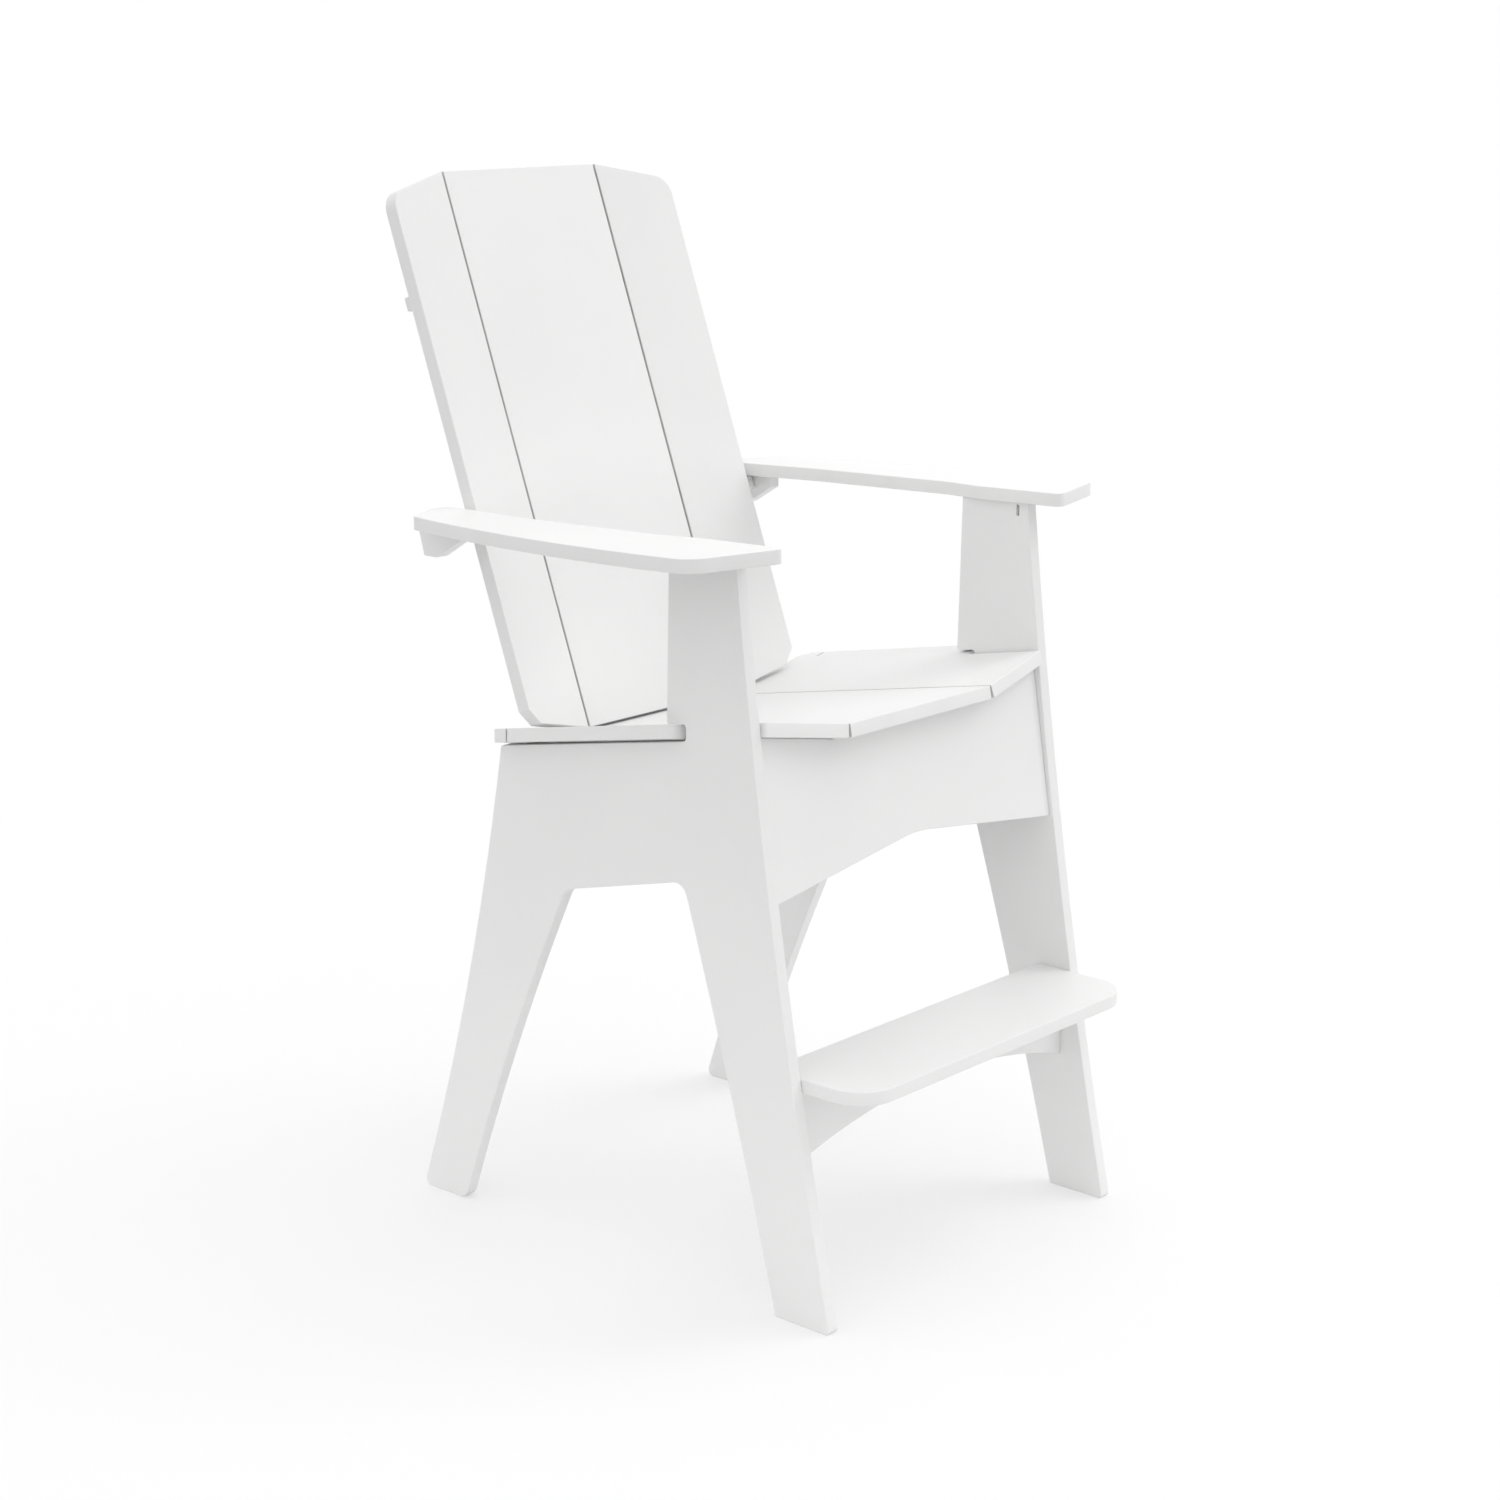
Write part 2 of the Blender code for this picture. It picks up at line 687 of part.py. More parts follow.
class Chair:
    """The chair's collections, frames and finished pieces."""

    def __init__(self):
        self.parts = new_collection("bar_adirondack_chair")
        self.cutters = new_collection("cutters")
        self.pieces = {}
        self.root = frame_empty("chair_frame", self.parts, None, (0, 0, 0), 0)
        seat_spot = (0, depth_to_y(SEAT_FRONT), SEAT_HEIGHT)
        back_spot = (0, depth_to_y(BACK_FOOT), BACK_FOOT_HEIGHT)
        back_tilt = math.pi / 2 - BACK_RECLINE
        self.seat = frame_empty("seat_frame", self.parts, self.root, seat_spot, -SEAT_SLOPE)
        self.back = frame_empty("back_frame", self.parts, self.root, back_spot, back_tilt)
        bpy.context.view_layer.update()
        self.centre_plank = self.seat.matrix_world @ seat_plank_matrix(CENTRE)
        self.side_plank = self.seat.matrix_world @ seat_plank_matrix(LEFT)

    def add(self, name, points, placement, parent):
        """Add a board."""
        self.pieces[name] = board(name, points, placement, parent, self.parts)

    def add_planks(self):
        """Add the three planks of the seat and the three of the back."""
        half = SEAM - SEAM_GAP / 2
        centre = plank_points(half, SEAT_LENGTH)
        self.add("seat_plank_centre", centre, seat_plank_matrix(CENTRE), self.seat)
        centre = plank_points(half, BACK_LENGTH)
        self.add("back_plank_centre", centre, back_plank_matrix(CENTRE), self.back)
        for word, side in SIDES.items():
            points = sided(seat_side_points(self.side_plank), side)
            self.add("seat_plank_" + word, points, seat_plank_matrix(side), self.seat)
            points = sided(back_side_points(), side)
            self.add("back_plank_" + word, points, back_plank_matrix(side), self.back)

    def add_sides(self):
        """Add the side panels, the arms and the arm brackets."""
        upright = Euler((math.pi / 2, 0, math.pi / 2)).to_matrix().to_4x4()
        slope = Matrix.Rotation(-ARM_SLOPE, 4, "X") @ Matrix.Translation((0, 0, -SHEET / 2))
        toe_y = depth_to_y(0)
        for word, side in SIDES.items():
            place = Matrix.Translation((side * (PANEL_INNER + SHEET / 2), toe_y, 0))
            points = panel_points(self.side_plank)
            self.add("side_panel_" + word, points, place @ upright, self.root)
            place = Matrix.Translation((side * (BRACKET_INNER + SHEET / 2), toe_y, 0))
            self.add("arm_bracket_" + word, bracket_points(), place @ upright, self.root)
            place = Matrix.Translation((0, toe_y, ARM_HEIGHT))
            self.add("arm_" + word, sided(arm_points(), side), place @ slope, self.root)

    def add_behind_back(self):
        """Add the three yokes and the rail behind the back planks."""
        square = Matrix.Rotation(-math.pi / 2, 4, "X")
        for word, (rise, end, end_depth) in YOKES.items():
            place = Matrix.Translation((0, rise + SHEET / 2, 0)) @ square
            self.add(word + "_back_yoke", yoke_points(end, end_depth), place, self.back)
        behind = Matrix.Translation((0, 0, -SHEET - GAP - SHEET / 2))
        self.add("lower_back_rail", lower_rail_points(), behind, self.back)

    def add_under_seat(self):
        """Add the apron and the rear rail under the seat planks."""
        for name, setback, tilt, drop, peak in (
            ("front_apron", APRON_SETBACK, APRON_TILT, APRON_DROP, APRON_PEAK),
            ("rear_seat_rail", SEAT_RUN - REAR_RAIL_INSET, SEAT_SLOPE, REAR_RAIL_DROP, 0),
        ):
            top = SEAT_HEIGHT - setback * math.tan(SEAT_SLOPE)
            underside = top - SHEET / math.cos(SEAT_SLOPE)
            frame = board_frame(SEAT_FRONT + setback, underside, tilt)
            points = under_seat_points(frame, self.centre_plank, self.side_plank, drop, peak)
            place = frame @ Matrix.Translation((0, 0, -SHEET / 2))
            self.add(name, points, place, self.root)

    def add_footrest(self):
        """Add the footrest board and the stretcher under it."""
        rear = FOOTREST_FRONT + FOOTREST_DEPTH
        points = outline(
            [
                (-BETWEEN_PANELS, FOOTREST_FRONT, FOOTREST_ROUND, 0),
                (BETWEEN_PANELS, FOOTREST_FRONT, FOOTREST_ROUND, 0),
                (BETWEEN_PANELS, rear, 0, 0),
                (-BETWEEN_PANELS, rear, 0, 0),
            ]
        )
        place = Matrix.Translation((0, depth_to_y(0), FOOTREST_HEIGHT - SHEET / 2))
        self.add("footrest_board", points, place, self.root)
        points = outline(
            [
                (-BETWEEN_PANELS, -STRETCHER_HEIGHT, 0, STRETCHER_ARCH),
                (BETWEEN_PANELS, -STRETCHER_HEIGHT, 0, 0),
                (BETWEEN_PANELS, 0, 0, 0),
                (-BETWEEN_PANELS, 0, 0, 0),
            ]
        )
        top = FOOTREST_HEIGHT - SHEET - GAP
        frame = board_frame(FOOTREST_FRONT + STRETCHER_SETBACK, top, 0)
        place = frame @ Matrix.Translation((0, 0, -SHEET / 2))
        self.add("footrest_stretcher", points, place, self.root)

    def add_screw(self, name, seat, shank_length, boards, gauge, head_bore):
        """Add a screw whose head bears on a seat plane, and its holes in the named boards.

        `seat` is a matrix whose origin is on the seat and whose -Z runs into the boards, `gauge`
        is the radius of the shank and of the head, and `head_bore` is how far the hole for the
        head is cut outward from the seat.
        """
        shank_radius, head_radius = gauge
        head_top = GAP + HEAD_HEIGHT
        profile = [
            (0, head_top),
            (head_radius, head_top),
            (head_radius, GAP),
            (shank_radius, GAP),
            (shank_radius, -shank_length),
            (0, -shank_length),
        ]
        steel = turned(name, profile, self.parts, seat)
        steel.data.materials.append(new_material(name, STEEL_COLOUR, 0.3, 1.0))
        bore = shank_radius + GAP
        head = head_radius + HEAD_CLEARANCE if head_bore else bore
        top = head_bore if head_bore else GAP
        profile = [(0, top), (head, top)]
        if head_bore:
            profile += [(head, 0), (bore, 0)]
        profile += [(bore, -shank_length - GAP), (0, -shank_length - GAP)]
        cutter = turned(name + "_hole", profile, self.cutters, seat)
        for piece in boards:
            cut(self.pieces[piece], cutter)

    def add_post_screws(self):
        """Cut a pocket in each post's inner face and add a screw from it up into the arm."""
        depth = POST_FRONT + POCKET_SETBACK
        y = depth_to_y(depth)
        top = arm_underside(depth) - GAP - POCKET_TOP_WALL
        gauge = (POST_SHANK_RADIUS, POST_HEAD_RADIUS)
        reach = POST_HEAD_RADIUS + POCKET_CLEARANCE
        size = (2 * (POCKET_SCREW_INSET + reach), 2 * reach, POCKET_HEIGHT)
        for word, side in SIDES.items():
            spot = (side * PANEL_INNER, y, top - POCKET_HEIGHT / 2)
            panel = "side_panel_" + word
            cut(self.pieces[panel], box("pocket_" + word, size, self.cutters, spot))
            spot = (side * (PANEL_INNER + POCKET_SCREW_INSET), y, top)
            upward = Matrix.Translation(spot) @ Matrix.Rotation(math.pi, 4, "X")
            length = POCKET_TOP_WALL + SCREW_BITE
            boards = [panel, "arm_" + word]
            self.add_screw("post_screw_" + word, upward, length, boards, gauge, 0)

    def add_yoke_screws(self):
        """Add screws from the rear through each yoke into the three planks, with sunk heads."""
        about = Matrix.Rotation(math.pi, 4, "X")
        gauge = (YOKE_SHANK_RADIUS, YOKE_HEAD_RADIUS)
        for word, (rise, end, end_depth) in YOKES.items():
            for plank, side in {"centre": CENTRE, **SIDES}.items():
                out = side * YOKE_SCREW_SHARE * BACK_WING
                axis = back_plank_matrix(side) @ Matrix.Translation((out, rise + SHEET / 2, 0))
                x = abs((axis @ Vector((0, 0, -SHEET / 2))).x)
                plank_rear = wing_rear(x) if side else SHEET + GAP
                run = yoke_rear(x, end, end_depth) - HEAD_SINK - plank_rear
                through = run * math.cos(side * BACK_TURN)
                seat = Matrix.Translation((0, 0, -SHEET / 2 - GAP - through))
                place = self.back.matrix_world @ axis @ seat @ about
                boards = [word + "_back_yoke", "back_plank_" + plank]
                name = word + "_yoke_screw_" + plank
                length = through + SCREW_BITE
                self.add_screw(name, place, length, boards, gauge, 4 * HEAD_SINK)


def build():
    """Build the chair in an empty scene."""
    for piece in list(bpy.data.objects):
        bpy.data.objects.remove(piece)
    chair = Chair()
    chair.add_planks()
    chair.add_sides()
    chair.add_behind_back()
    chair.add_under_seat()
    chair.add_footrest()
    bpy.context.view_layer.update()
    chair.add_post_screws()
    chair.add_yoke_screws()
    bpy.context.view_layer.update()


build()
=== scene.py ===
"""Looks of a bar-height adirondack chair cut from flat white sheet.

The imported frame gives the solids. Every board is worked out again here as a fine surface with
rounded arrises, and every screw as a turned form with a hexagonal socket. Sizes are in metres.
Depths run rearward from the toe of the front feet and heights run up from the floor; the chair is
the same on both sides of X = 0, and the sitter's right is at -X.
"""

import logging
import math
from dataclasses import dataclass, field
from enum import Enum, IntEnum
from typing import NamedTuple, Sequence

import bpy
import numpy as np
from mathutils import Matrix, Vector


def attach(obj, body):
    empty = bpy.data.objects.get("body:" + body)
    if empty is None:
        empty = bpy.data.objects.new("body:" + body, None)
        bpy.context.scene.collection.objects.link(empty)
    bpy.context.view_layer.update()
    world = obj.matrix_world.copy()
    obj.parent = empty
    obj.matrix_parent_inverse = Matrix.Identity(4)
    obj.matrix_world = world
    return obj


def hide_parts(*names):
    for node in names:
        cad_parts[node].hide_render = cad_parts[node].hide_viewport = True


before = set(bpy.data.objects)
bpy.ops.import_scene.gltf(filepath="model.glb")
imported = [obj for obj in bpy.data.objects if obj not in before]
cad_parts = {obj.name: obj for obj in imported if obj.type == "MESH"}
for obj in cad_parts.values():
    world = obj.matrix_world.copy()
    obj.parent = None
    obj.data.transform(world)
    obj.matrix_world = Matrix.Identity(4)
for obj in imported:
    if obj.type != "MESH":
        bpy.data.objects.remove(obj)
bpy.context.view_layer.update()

LOG = logging.getLogger("chair")
SHARP_ANGLE = math.radians(28)
STRAIGHT_BOW = 1e-9


class Axis(Enum):
    """The axis that a turn goes about."""

    X = 0
    Y = 1
    Z = 2


class Place(Enum):
    """Where a plank or panel sits across the chair, as the sign of its X."""

    RIGHT = -1
    CENTRE = 0
    LEFT = 1

    @property
    def word(self) -> str:
        """The place's name in a node's name."""
        return self.name.lower()


FLANKS = (Place.RIGHT, Place.LEFT)


class Finish(IntEnum):
    """Material numbers of a board: its faces, its cut edges and its seam edges, which are darkened with
    painted shade.
    """

    FACE = 0
    CUT = 1
    SEAM = 2


class Corner(NamedTuple):
    """One corner of an outline, and the edge that leaves it.

    A positive bow hollows the edge toward the inside of the outline.
    """

    x: float
    y: float
    fillet: float = 0.0
    bow: float = 0.0


def shift(x: float = 0.0, y: float = 0.0, z: float = 0.0) -> np.ndarray:
    """The 4 x 4 matrix of a move.

    Args:
        x: Move along X.
        y: Move along Y.
        z: Move along Z.

    Returns:
        The matrix.
    """
    matrix = np.eye(4)
    matrix[:3, 3] = (x, y, z)
    return matrix


def turn(axis: Axis, angle: float) -> np.ndarray:
    """The 4 x 4 matrix of a right-handed turn.

    Args:
        axis: Axis to turn about.
        angle: Angle in radians.

    Returns:
        The matrix.
    """
    first, second = ((axis.value + 1) % 3, (axis.value + 2) % 3)
    cosine, sine = math.cos(angle), math.sin(angle)
    matrix = np.eye(4)
    matrix[first, first] = matrix[second, second] = cosine
    matrix[first, second] = -sine
    matrix[second, first] = sine
    return matrix


# Stands a board up along the chair: its x becomes depth, its y height and its z the way to the left.
UPRIGHT = turn(Axis.Z, math.pi / 2) @ turn(Axis.X, math.pi / 2)


def moved(matrix: np.ndarray, points: np.ndarray) -> np.ndarray:
    """Points carried by a matrix.

    Args:
        matrix: 4 x 4 matrix.
        points: Array of (n, 3) points.

    Returns:
        Array of (n, 3) points.
    """
    return points @ matrix[:3, :3].T + matrix[:3, 3]


@dataclass(frozen=True)
class Arc:
    """A circular arc from start to end, whose middle lies `bow` to the left of the chord."""

    start: np.ndarray
    end: np.ndarray
    bow: float

    @property
    def chord(self) -> float:
        """Straight distance from start to end."""
        return float(np.linalg.norm(self.end - self.start))

    @property
    def half_angle(self) -> float:
        """Half the arc's angle: four times the angle whose tangent is bow over chord, halved."""
        return 2 * math.atan2(2 * self.bow, self.chord)

    @property
    def straight(self) -> bool:
        """Whether the arc has no bow."""
        return abs(self.bow) < STRAIGHT_BOW

    @property
    def length(self) -> float:
        """Length along the arc."""
        if self.straight:
            return self.chord
        return abs(self.half_angle * self.chord / math.sin(self.half_angle))

    def basis(self) -> tuple[np.ndarray, np.ndarray]:
        """Unit vectors along the chord and to its left."""
        along = (self.end - self.start) / self.chord
        return along, np.array([-along[1], along[0]])

    def at(self, share: np.ndarray) -> np.ndarray:
        """Points on the arc: its centre plus the radius turned evenly from start to end.

        Args:
            share: Shares of the arc's length, from 0 to 1.

        Returns:
            Array of (n, 2) points.
        """
        share = np.atleast_1d(share)[:, None]
        if self.straight:
            return self.start + (self.end - self.start) * share
        along, left = self.basis()
        radius = self.chord / (2 * math.sin(self.half_angle))
        centre = (self.start + self.end) / 2 + left * (self.bow - radius)
        angle = self.half_angle * (1 - 2 * share)
        return centre + radius * (left * np.cos(angle) - along * np.sin(angle))

    def heading(self, share: float) -> np.ndarray:
        """Unit direction of travel at a share of the arc's length.

        Args:
            share: Share from 0 to 1.

        Returns:
            Array of 2 numbers.
        """
        along, left = self.basis()
        if self.straight:
            return along
        angle = self.half_angle * (1 - 2 * share)
        return along * math.cos(angle) + left * math.sin(angle)


def outline(corners: Sequence[Corner], arc_steps: int = 28, fillet_steps: int = 10) -> np.ndarray:
    """A closed outline, walked with its inside on the left.

    Each edge is one arc. At a corner with a fillet both edges are trimmed by the radius times the
    tangent of half the turn, and a cubic curve with quarter-circle handles joins the two trims.

    Args:
        corners: Corners in order.
        arc_steps: Pieces in a bowed edge.
        fillet_steps: Pieces in a fillet.

    Returns:
        Array of (n, 2) points without a repeated end.
    """
    spots = np.array([(corner.x, corner.y) for corner in corners])
    count = len(corners)
    arcs = [Arc(spots[i], spots[(i + 1) % count], corners[i].bow) for i in range(count)]
    turns = []
    for i in range(count):
        before, after = arcs[i - 1].heading(1.0), arcs[i].heading(0.0)
        turns.append(abs(math.atan2(before[0] * after[1] - before[1] * after[0], before @ after)))
    trims = [corners[i].fillet * math.tan(turns[i] / 2) for i in range(count)]
    runs = []
    for i in range(count):
        arc, follower = arcs[i], (i + 1) % count
        first, last = trims[i] / arc.length, 1 - trims[follower] / arc.length
        if corners[i].fillet > 0:
            earlier = arcs[i - 1]
            cut = 1 - trims[i] / earlier.length
            handle = 4 / 3 * math.tan(turns[i] / 4) * corners[i].fillet
            a = earlier.at(cut)
            b = a + earlier.heading(cut) * handle
            d = arc.at(first)
            c = d - arc.heading(first) * handle
            s = np.linspace(0, 1, fillet_steps + 1)[1:-1, None]
            r = 1 - s
            runs.append(a * r**3 + 3 * b * r**2 * s + 3 * c * r * s**2 + d * s**3)
        steps = arc_steps if corners[i].bow else 1
        shares = np.linspace(first, last, steps + 1)
        runs.append(arc.at(shares if corners[follower].fillet > 0 else shares[:-1]))
    return np.concatenate(runs)


def mirrored(points: np.ndarray) -> np.ndarray:
    """An outline turned over in x, still walked with its inside on the left."""
    return points[::-1] * (-1.0, 1.0)


def flanked(points: np.ndarray, place: Place) -> np.ndarray:
    """An outline drawn for the left side, for either side."""
    return mirrored(points) if place is Place.RIGHT else points


def oblong(half: float, low: float, high: float) -> np.ndarray:
    """A rectangle's outline, centred across.

    Args:
        half: Half width in x.
        low: Lowest y.
        high: Highest y.

    Returns:
        Array of (4, 2) points.
    """
    return np.array([(-half, low), (half, low), (half, high), (-half, high)])


@dataclass(frozen=True)
class SheetStock:
    """The sheet that the boards are cut from, and how its arrises are eased."""

    thickness: float = 0.019
    gap: float = 0.0003
    small_round: float = 0.003
    arris: float = 0.0012
    arris_steps: int = 6
    margin: float = 0.0004

    @property
    def half(self) -> float:
        """Half the sheet's thickness."""
        return self.thickness / 2

    def edge_profile(self) -> np.ndarray:
        """The cut edge in section: a quarter circle from each face into a straight wall.

        Returns:
            Rows of (offset from the outline, height from the middle of the sheet), from the upper
            face to the lower one. The first and last rows lie a margin inside the faces.
        """
        angle = np.linspace(0, math.pi / 2, self.arris_steps + 1)
        offset = self.arris * (np.sin(angle) - 1)
        height = self.half - self.arris * (1 - np.cos(angle))
        upper = np.stack([offset, height], axis=1)
        inset = np.array([[-self.arris - self.margin, self.half]])
        upper = np.concatenate([inset, upper])
        return np.concatenate([upper, upper[::-1] * (1.0, -1.0)])


class Surface(NamedTuple):
    """A mesh as arrays: points, quads, end faces, and the quads' UVs and material numbers."""

    points: np.ndarray
    quads: np.ndarray
    caps: list[np.ndarray]
    quad_uv: np.ndarray
    quad_slot: np.ndarray


def running(steps: np.ndarray) -> np.ndarray:
    """Distances from the start, before each step and after the last."""
    return np.concatenate([[0.0], np.cumsum(steps)])


def span(rows: np.ndarray) -> np.ndarray:
    """Distances along a profile, from its first row to each row."""
    return running(np.linalg.norm(np.diff(rows, axis=0), axis=1))


def closed_grid(
    number: np.ndarray, along: np.ndarray, down: np.ndarray
) -> tuple[np.ndarray, np.ndarray]:
    """Quads and UVs of a grid of points that closes on itself.

    Args:
        number: Numbers of the points, of (points around, rows down).
        along: U of the points around, and of the first one again at the end.
        down: V of the rows.

    Returns:
        Array of (n, 4) point numbers, walked down first and then onward, and of (n, 4, 2) UVs.
    """
    onward = np.roll(number, -1, axis=0)
    quads = np.stack([number[:, :-1], number[:, 1:], onward[:, 1:], onward[:, :-1]], axis=2)
    u0, v0 = np.meshgrid(along[:-1], down[:-1], indexing="ij")
    u1, v1 = np.meshgrid(along[1:], down[1:], indexing="ij")
    corners = ((u0, v0), (u0, v1), (u1, v1), (u1, v0))
    uv = np.stack([np.stack(pair, axis=2) for pair in corners], axis=2)
    return quads.reshape(-1, 4), uv.reshape(-1, 4, 2)


def board_surface(points: np.ndarray, stock: SheetStock) -> Surface:
    """A board: the edge profile carried round its outline, closed by two flat faces.

    At each outline point the profile's offset is laid along the mitre of the two edges that meet
    there, which is the sum of their normals over one plus the product of the normals.

    Args:
        points: Outline of (n, 2) points, walked with its inside on the left.
        stock: Sheet that gives the profile.

    Returns:
        The surface, with x and y in the sheet and z through it. A quad's UV is the distance along
        the outline and the distance through the profile.
    """
    profile = stock.edge_profile()
    count, rows = len(points), len(profile)
    edges = np.roll(points, -1, axis=0) - points
    lengths = np.linalg.norm(edges, axis=1)
    normals = np.stack([edges[:, 1], -edges[:, 0]], axis=1) / lengths[:, None]
    earlier = np.roll(normals, 1, axis=0)
    mitre = (earlier + normals) / (1 + (earlier * normals).sum(axis=1))[:, None]
    spread = points[:, None, :] + mitre[:, None, :] * profile[None, :, :1]
    height = np.broadcast_to(profile[None, :, 1:], (count, rows, 1))
    grid = np.concatenate([spread, height], axis=2)
    number = np.arange(count * rows).reshape(count, rows)
    quads, uv = closed_grid(number, running(lengths), span(profile))
    slot = np.full((count, rows - 1), Finish.CUT, dtype=np.int32)
    slot[:, [0, -1]] = Finish.FACE
    caps = [number[:, 0], number[::-1, -1]]
    return Surface(grid.reshape(-1, 3), quads, caps, uv, slot.reshape(-1))


def with_seams(surface: Surface, axis: int, seams: Sequence[float], reach: float) -> Surface:
    """A board whose edges at some seams have the darker finish of painted shade.

    Args:
        surface: The board.
        axis: 0 where the seams lie at places in x, 1 where they lie at places in y.
        seams: Places of the edges that face a neighbour.
        reach: How far from such a place a quad still belongs to the seam.

    Returns:
        The board with those quads renumbered.
    """
    across = surface.points[surface.quads, axis]
    away = np.abs(across[:, :, None] - np.array(seams)).max(axis=1).min(axis=1)
    return surface._replace(quad_slot=np.where(away < reach, Finish.SEAM, surface.quad_slot))


def turned_surface(rows: np.ndarray, hexed: np.ndarray, sides: int = 48) -> Surface:
    """A turned form: a profile carried round the Z axis, closed by two flat ends.

    A row is a circle of its radius. A hexed row is a hexagon instead, whose radius at an angle is
    its half width over the cosine of the angle to the nearest flat.

    Args:
        rows: Profile of (radius, height) from top to bottom.
        hexed: Whether each row is a hexagon.
        sides: Points in a row.

    Returns:
        The surface. A quad's UV is the angle and the distance along the profile.
    """
    angle = np.linspace(0, 2 * math.pi, sides, endpoint=False)
    flat = np.mod(angle + math.pi / 6, math.pi / 3) - math.pi / 6
    stretch = np.where(hexed[:, None], 1 / np.cos(flat)[None, :], 1.0)
    radius = rows[:, :1] * stretch
    height = np.broadcast_to(rows[:, 1:], radius.shape)
    grid = np.stack([radius * np.cos(angle), radius * np.sin(angle), height], axis=2)
    count = len(rows)
    number = np.arange(count * sides).reshape(count, sides)
    quads, uv = closed_grid(number.T, np.linspace(0, 1, sides + 1), span(rows))
    caps = [number[0], number[-1, ::-1]]
    slot = np.zeros(len(quads), dtype=np.int32)
    return Surface(grid.reshape(-1, 3), quads, caps, uv, slot)


def smooth(mesh: bpy.types.Mesh) -> None:
    """Shade a mesh smooth apart from its sharp edges."""
    mesh.polygons.foreach_set("use_smooth", np.ones(len(mesh.polygons), dtype=bool))
    mesh.set_sharp_from_angle(angle=SHARP_ANGLE)


def placed(data: bpy.types.ID, name: str) -> bpy.types.Object:
    """A new object in the scene.

    Args:
        data: Its mesh, lens or light.
        name: The object's name.

    Returns:
        The object.
    """
    thing = bpy.data.objects.new(name, data)
    bpy.context.scene.collection.objects.link(thing)
    return thing


def mesh_of(name: str, surface: Surface, placement: np.ndarray) -> bpy.types.Mesh:
    """A Blender mesh of a surface, smooth apart from its sharp edges.

    Args:
        name: The mesh's name.
        surface: Arrays of the shape.
        placement: Matrix that carries the points into the chair's frame.

    Returns:
        The mesh, with its UV map and material numbers.
    """
    mesh = bpy.data.meshes.new(name)
    faces = surface.quads.tolist() + [cap.tolist() for cap in surface.caps]
    mesh.from_pydata(moved(placement, surface.points).tolist(), [], faces)
    cap_uv = [surface.points[cap, :2] for cap in surface.caps]
    uv = np.concatenate([surface.quad_uv.reshape(-1, 2), *cap_uv])
    mesh.uv_layers.new(name="sheet").data.foreach_set("uv", uv.astype(np.float32).ravel())
    slots = np.concatenate([surface.quad_slot, np.zeros(len(surface.caps), dtype=np.int32)])
    mesh.polygons.foreach_set("material_index", slots.astype(np.int32))
    smooth(mesh)
    mesh.update()
    return mesh


def box_mesh(name: str, plan: np.ndarray, heights: np.ndarray, placement: np.ndarray) -> bpy.types.Mesh:
    """A plan carried straight down, closed at both ends.

    Args:
        name: The mesh's name.
        plan: Outline of (n, 2) points, walked with its inside on the left.
        heights: Upper and lower height.
        placement: Matrix into the chair's frame.

    Returns:
        The mesh.
    """
    count = len(plan)
    upper = np.concatenate([plan, np.full((count, 1), heights[0])], axis=1)
    lower = np.concatenate([plan, np.full((count, 1), heights[1])], axis=1)
    number = np.arange(count)
    onward = np.roll(number, -1)
    quads = np.stack([number, number + count, onward + count, onward], axis=1)
    surface = Surface(
        np.concatenate([upper, lower]),
        quads,
        [number, number[::-1] + count],
        np.zeros((count, 4, 2)),
        np.zeros(count, dtype=np.int32),
    )
    return mesh_of(name, surface, placement)


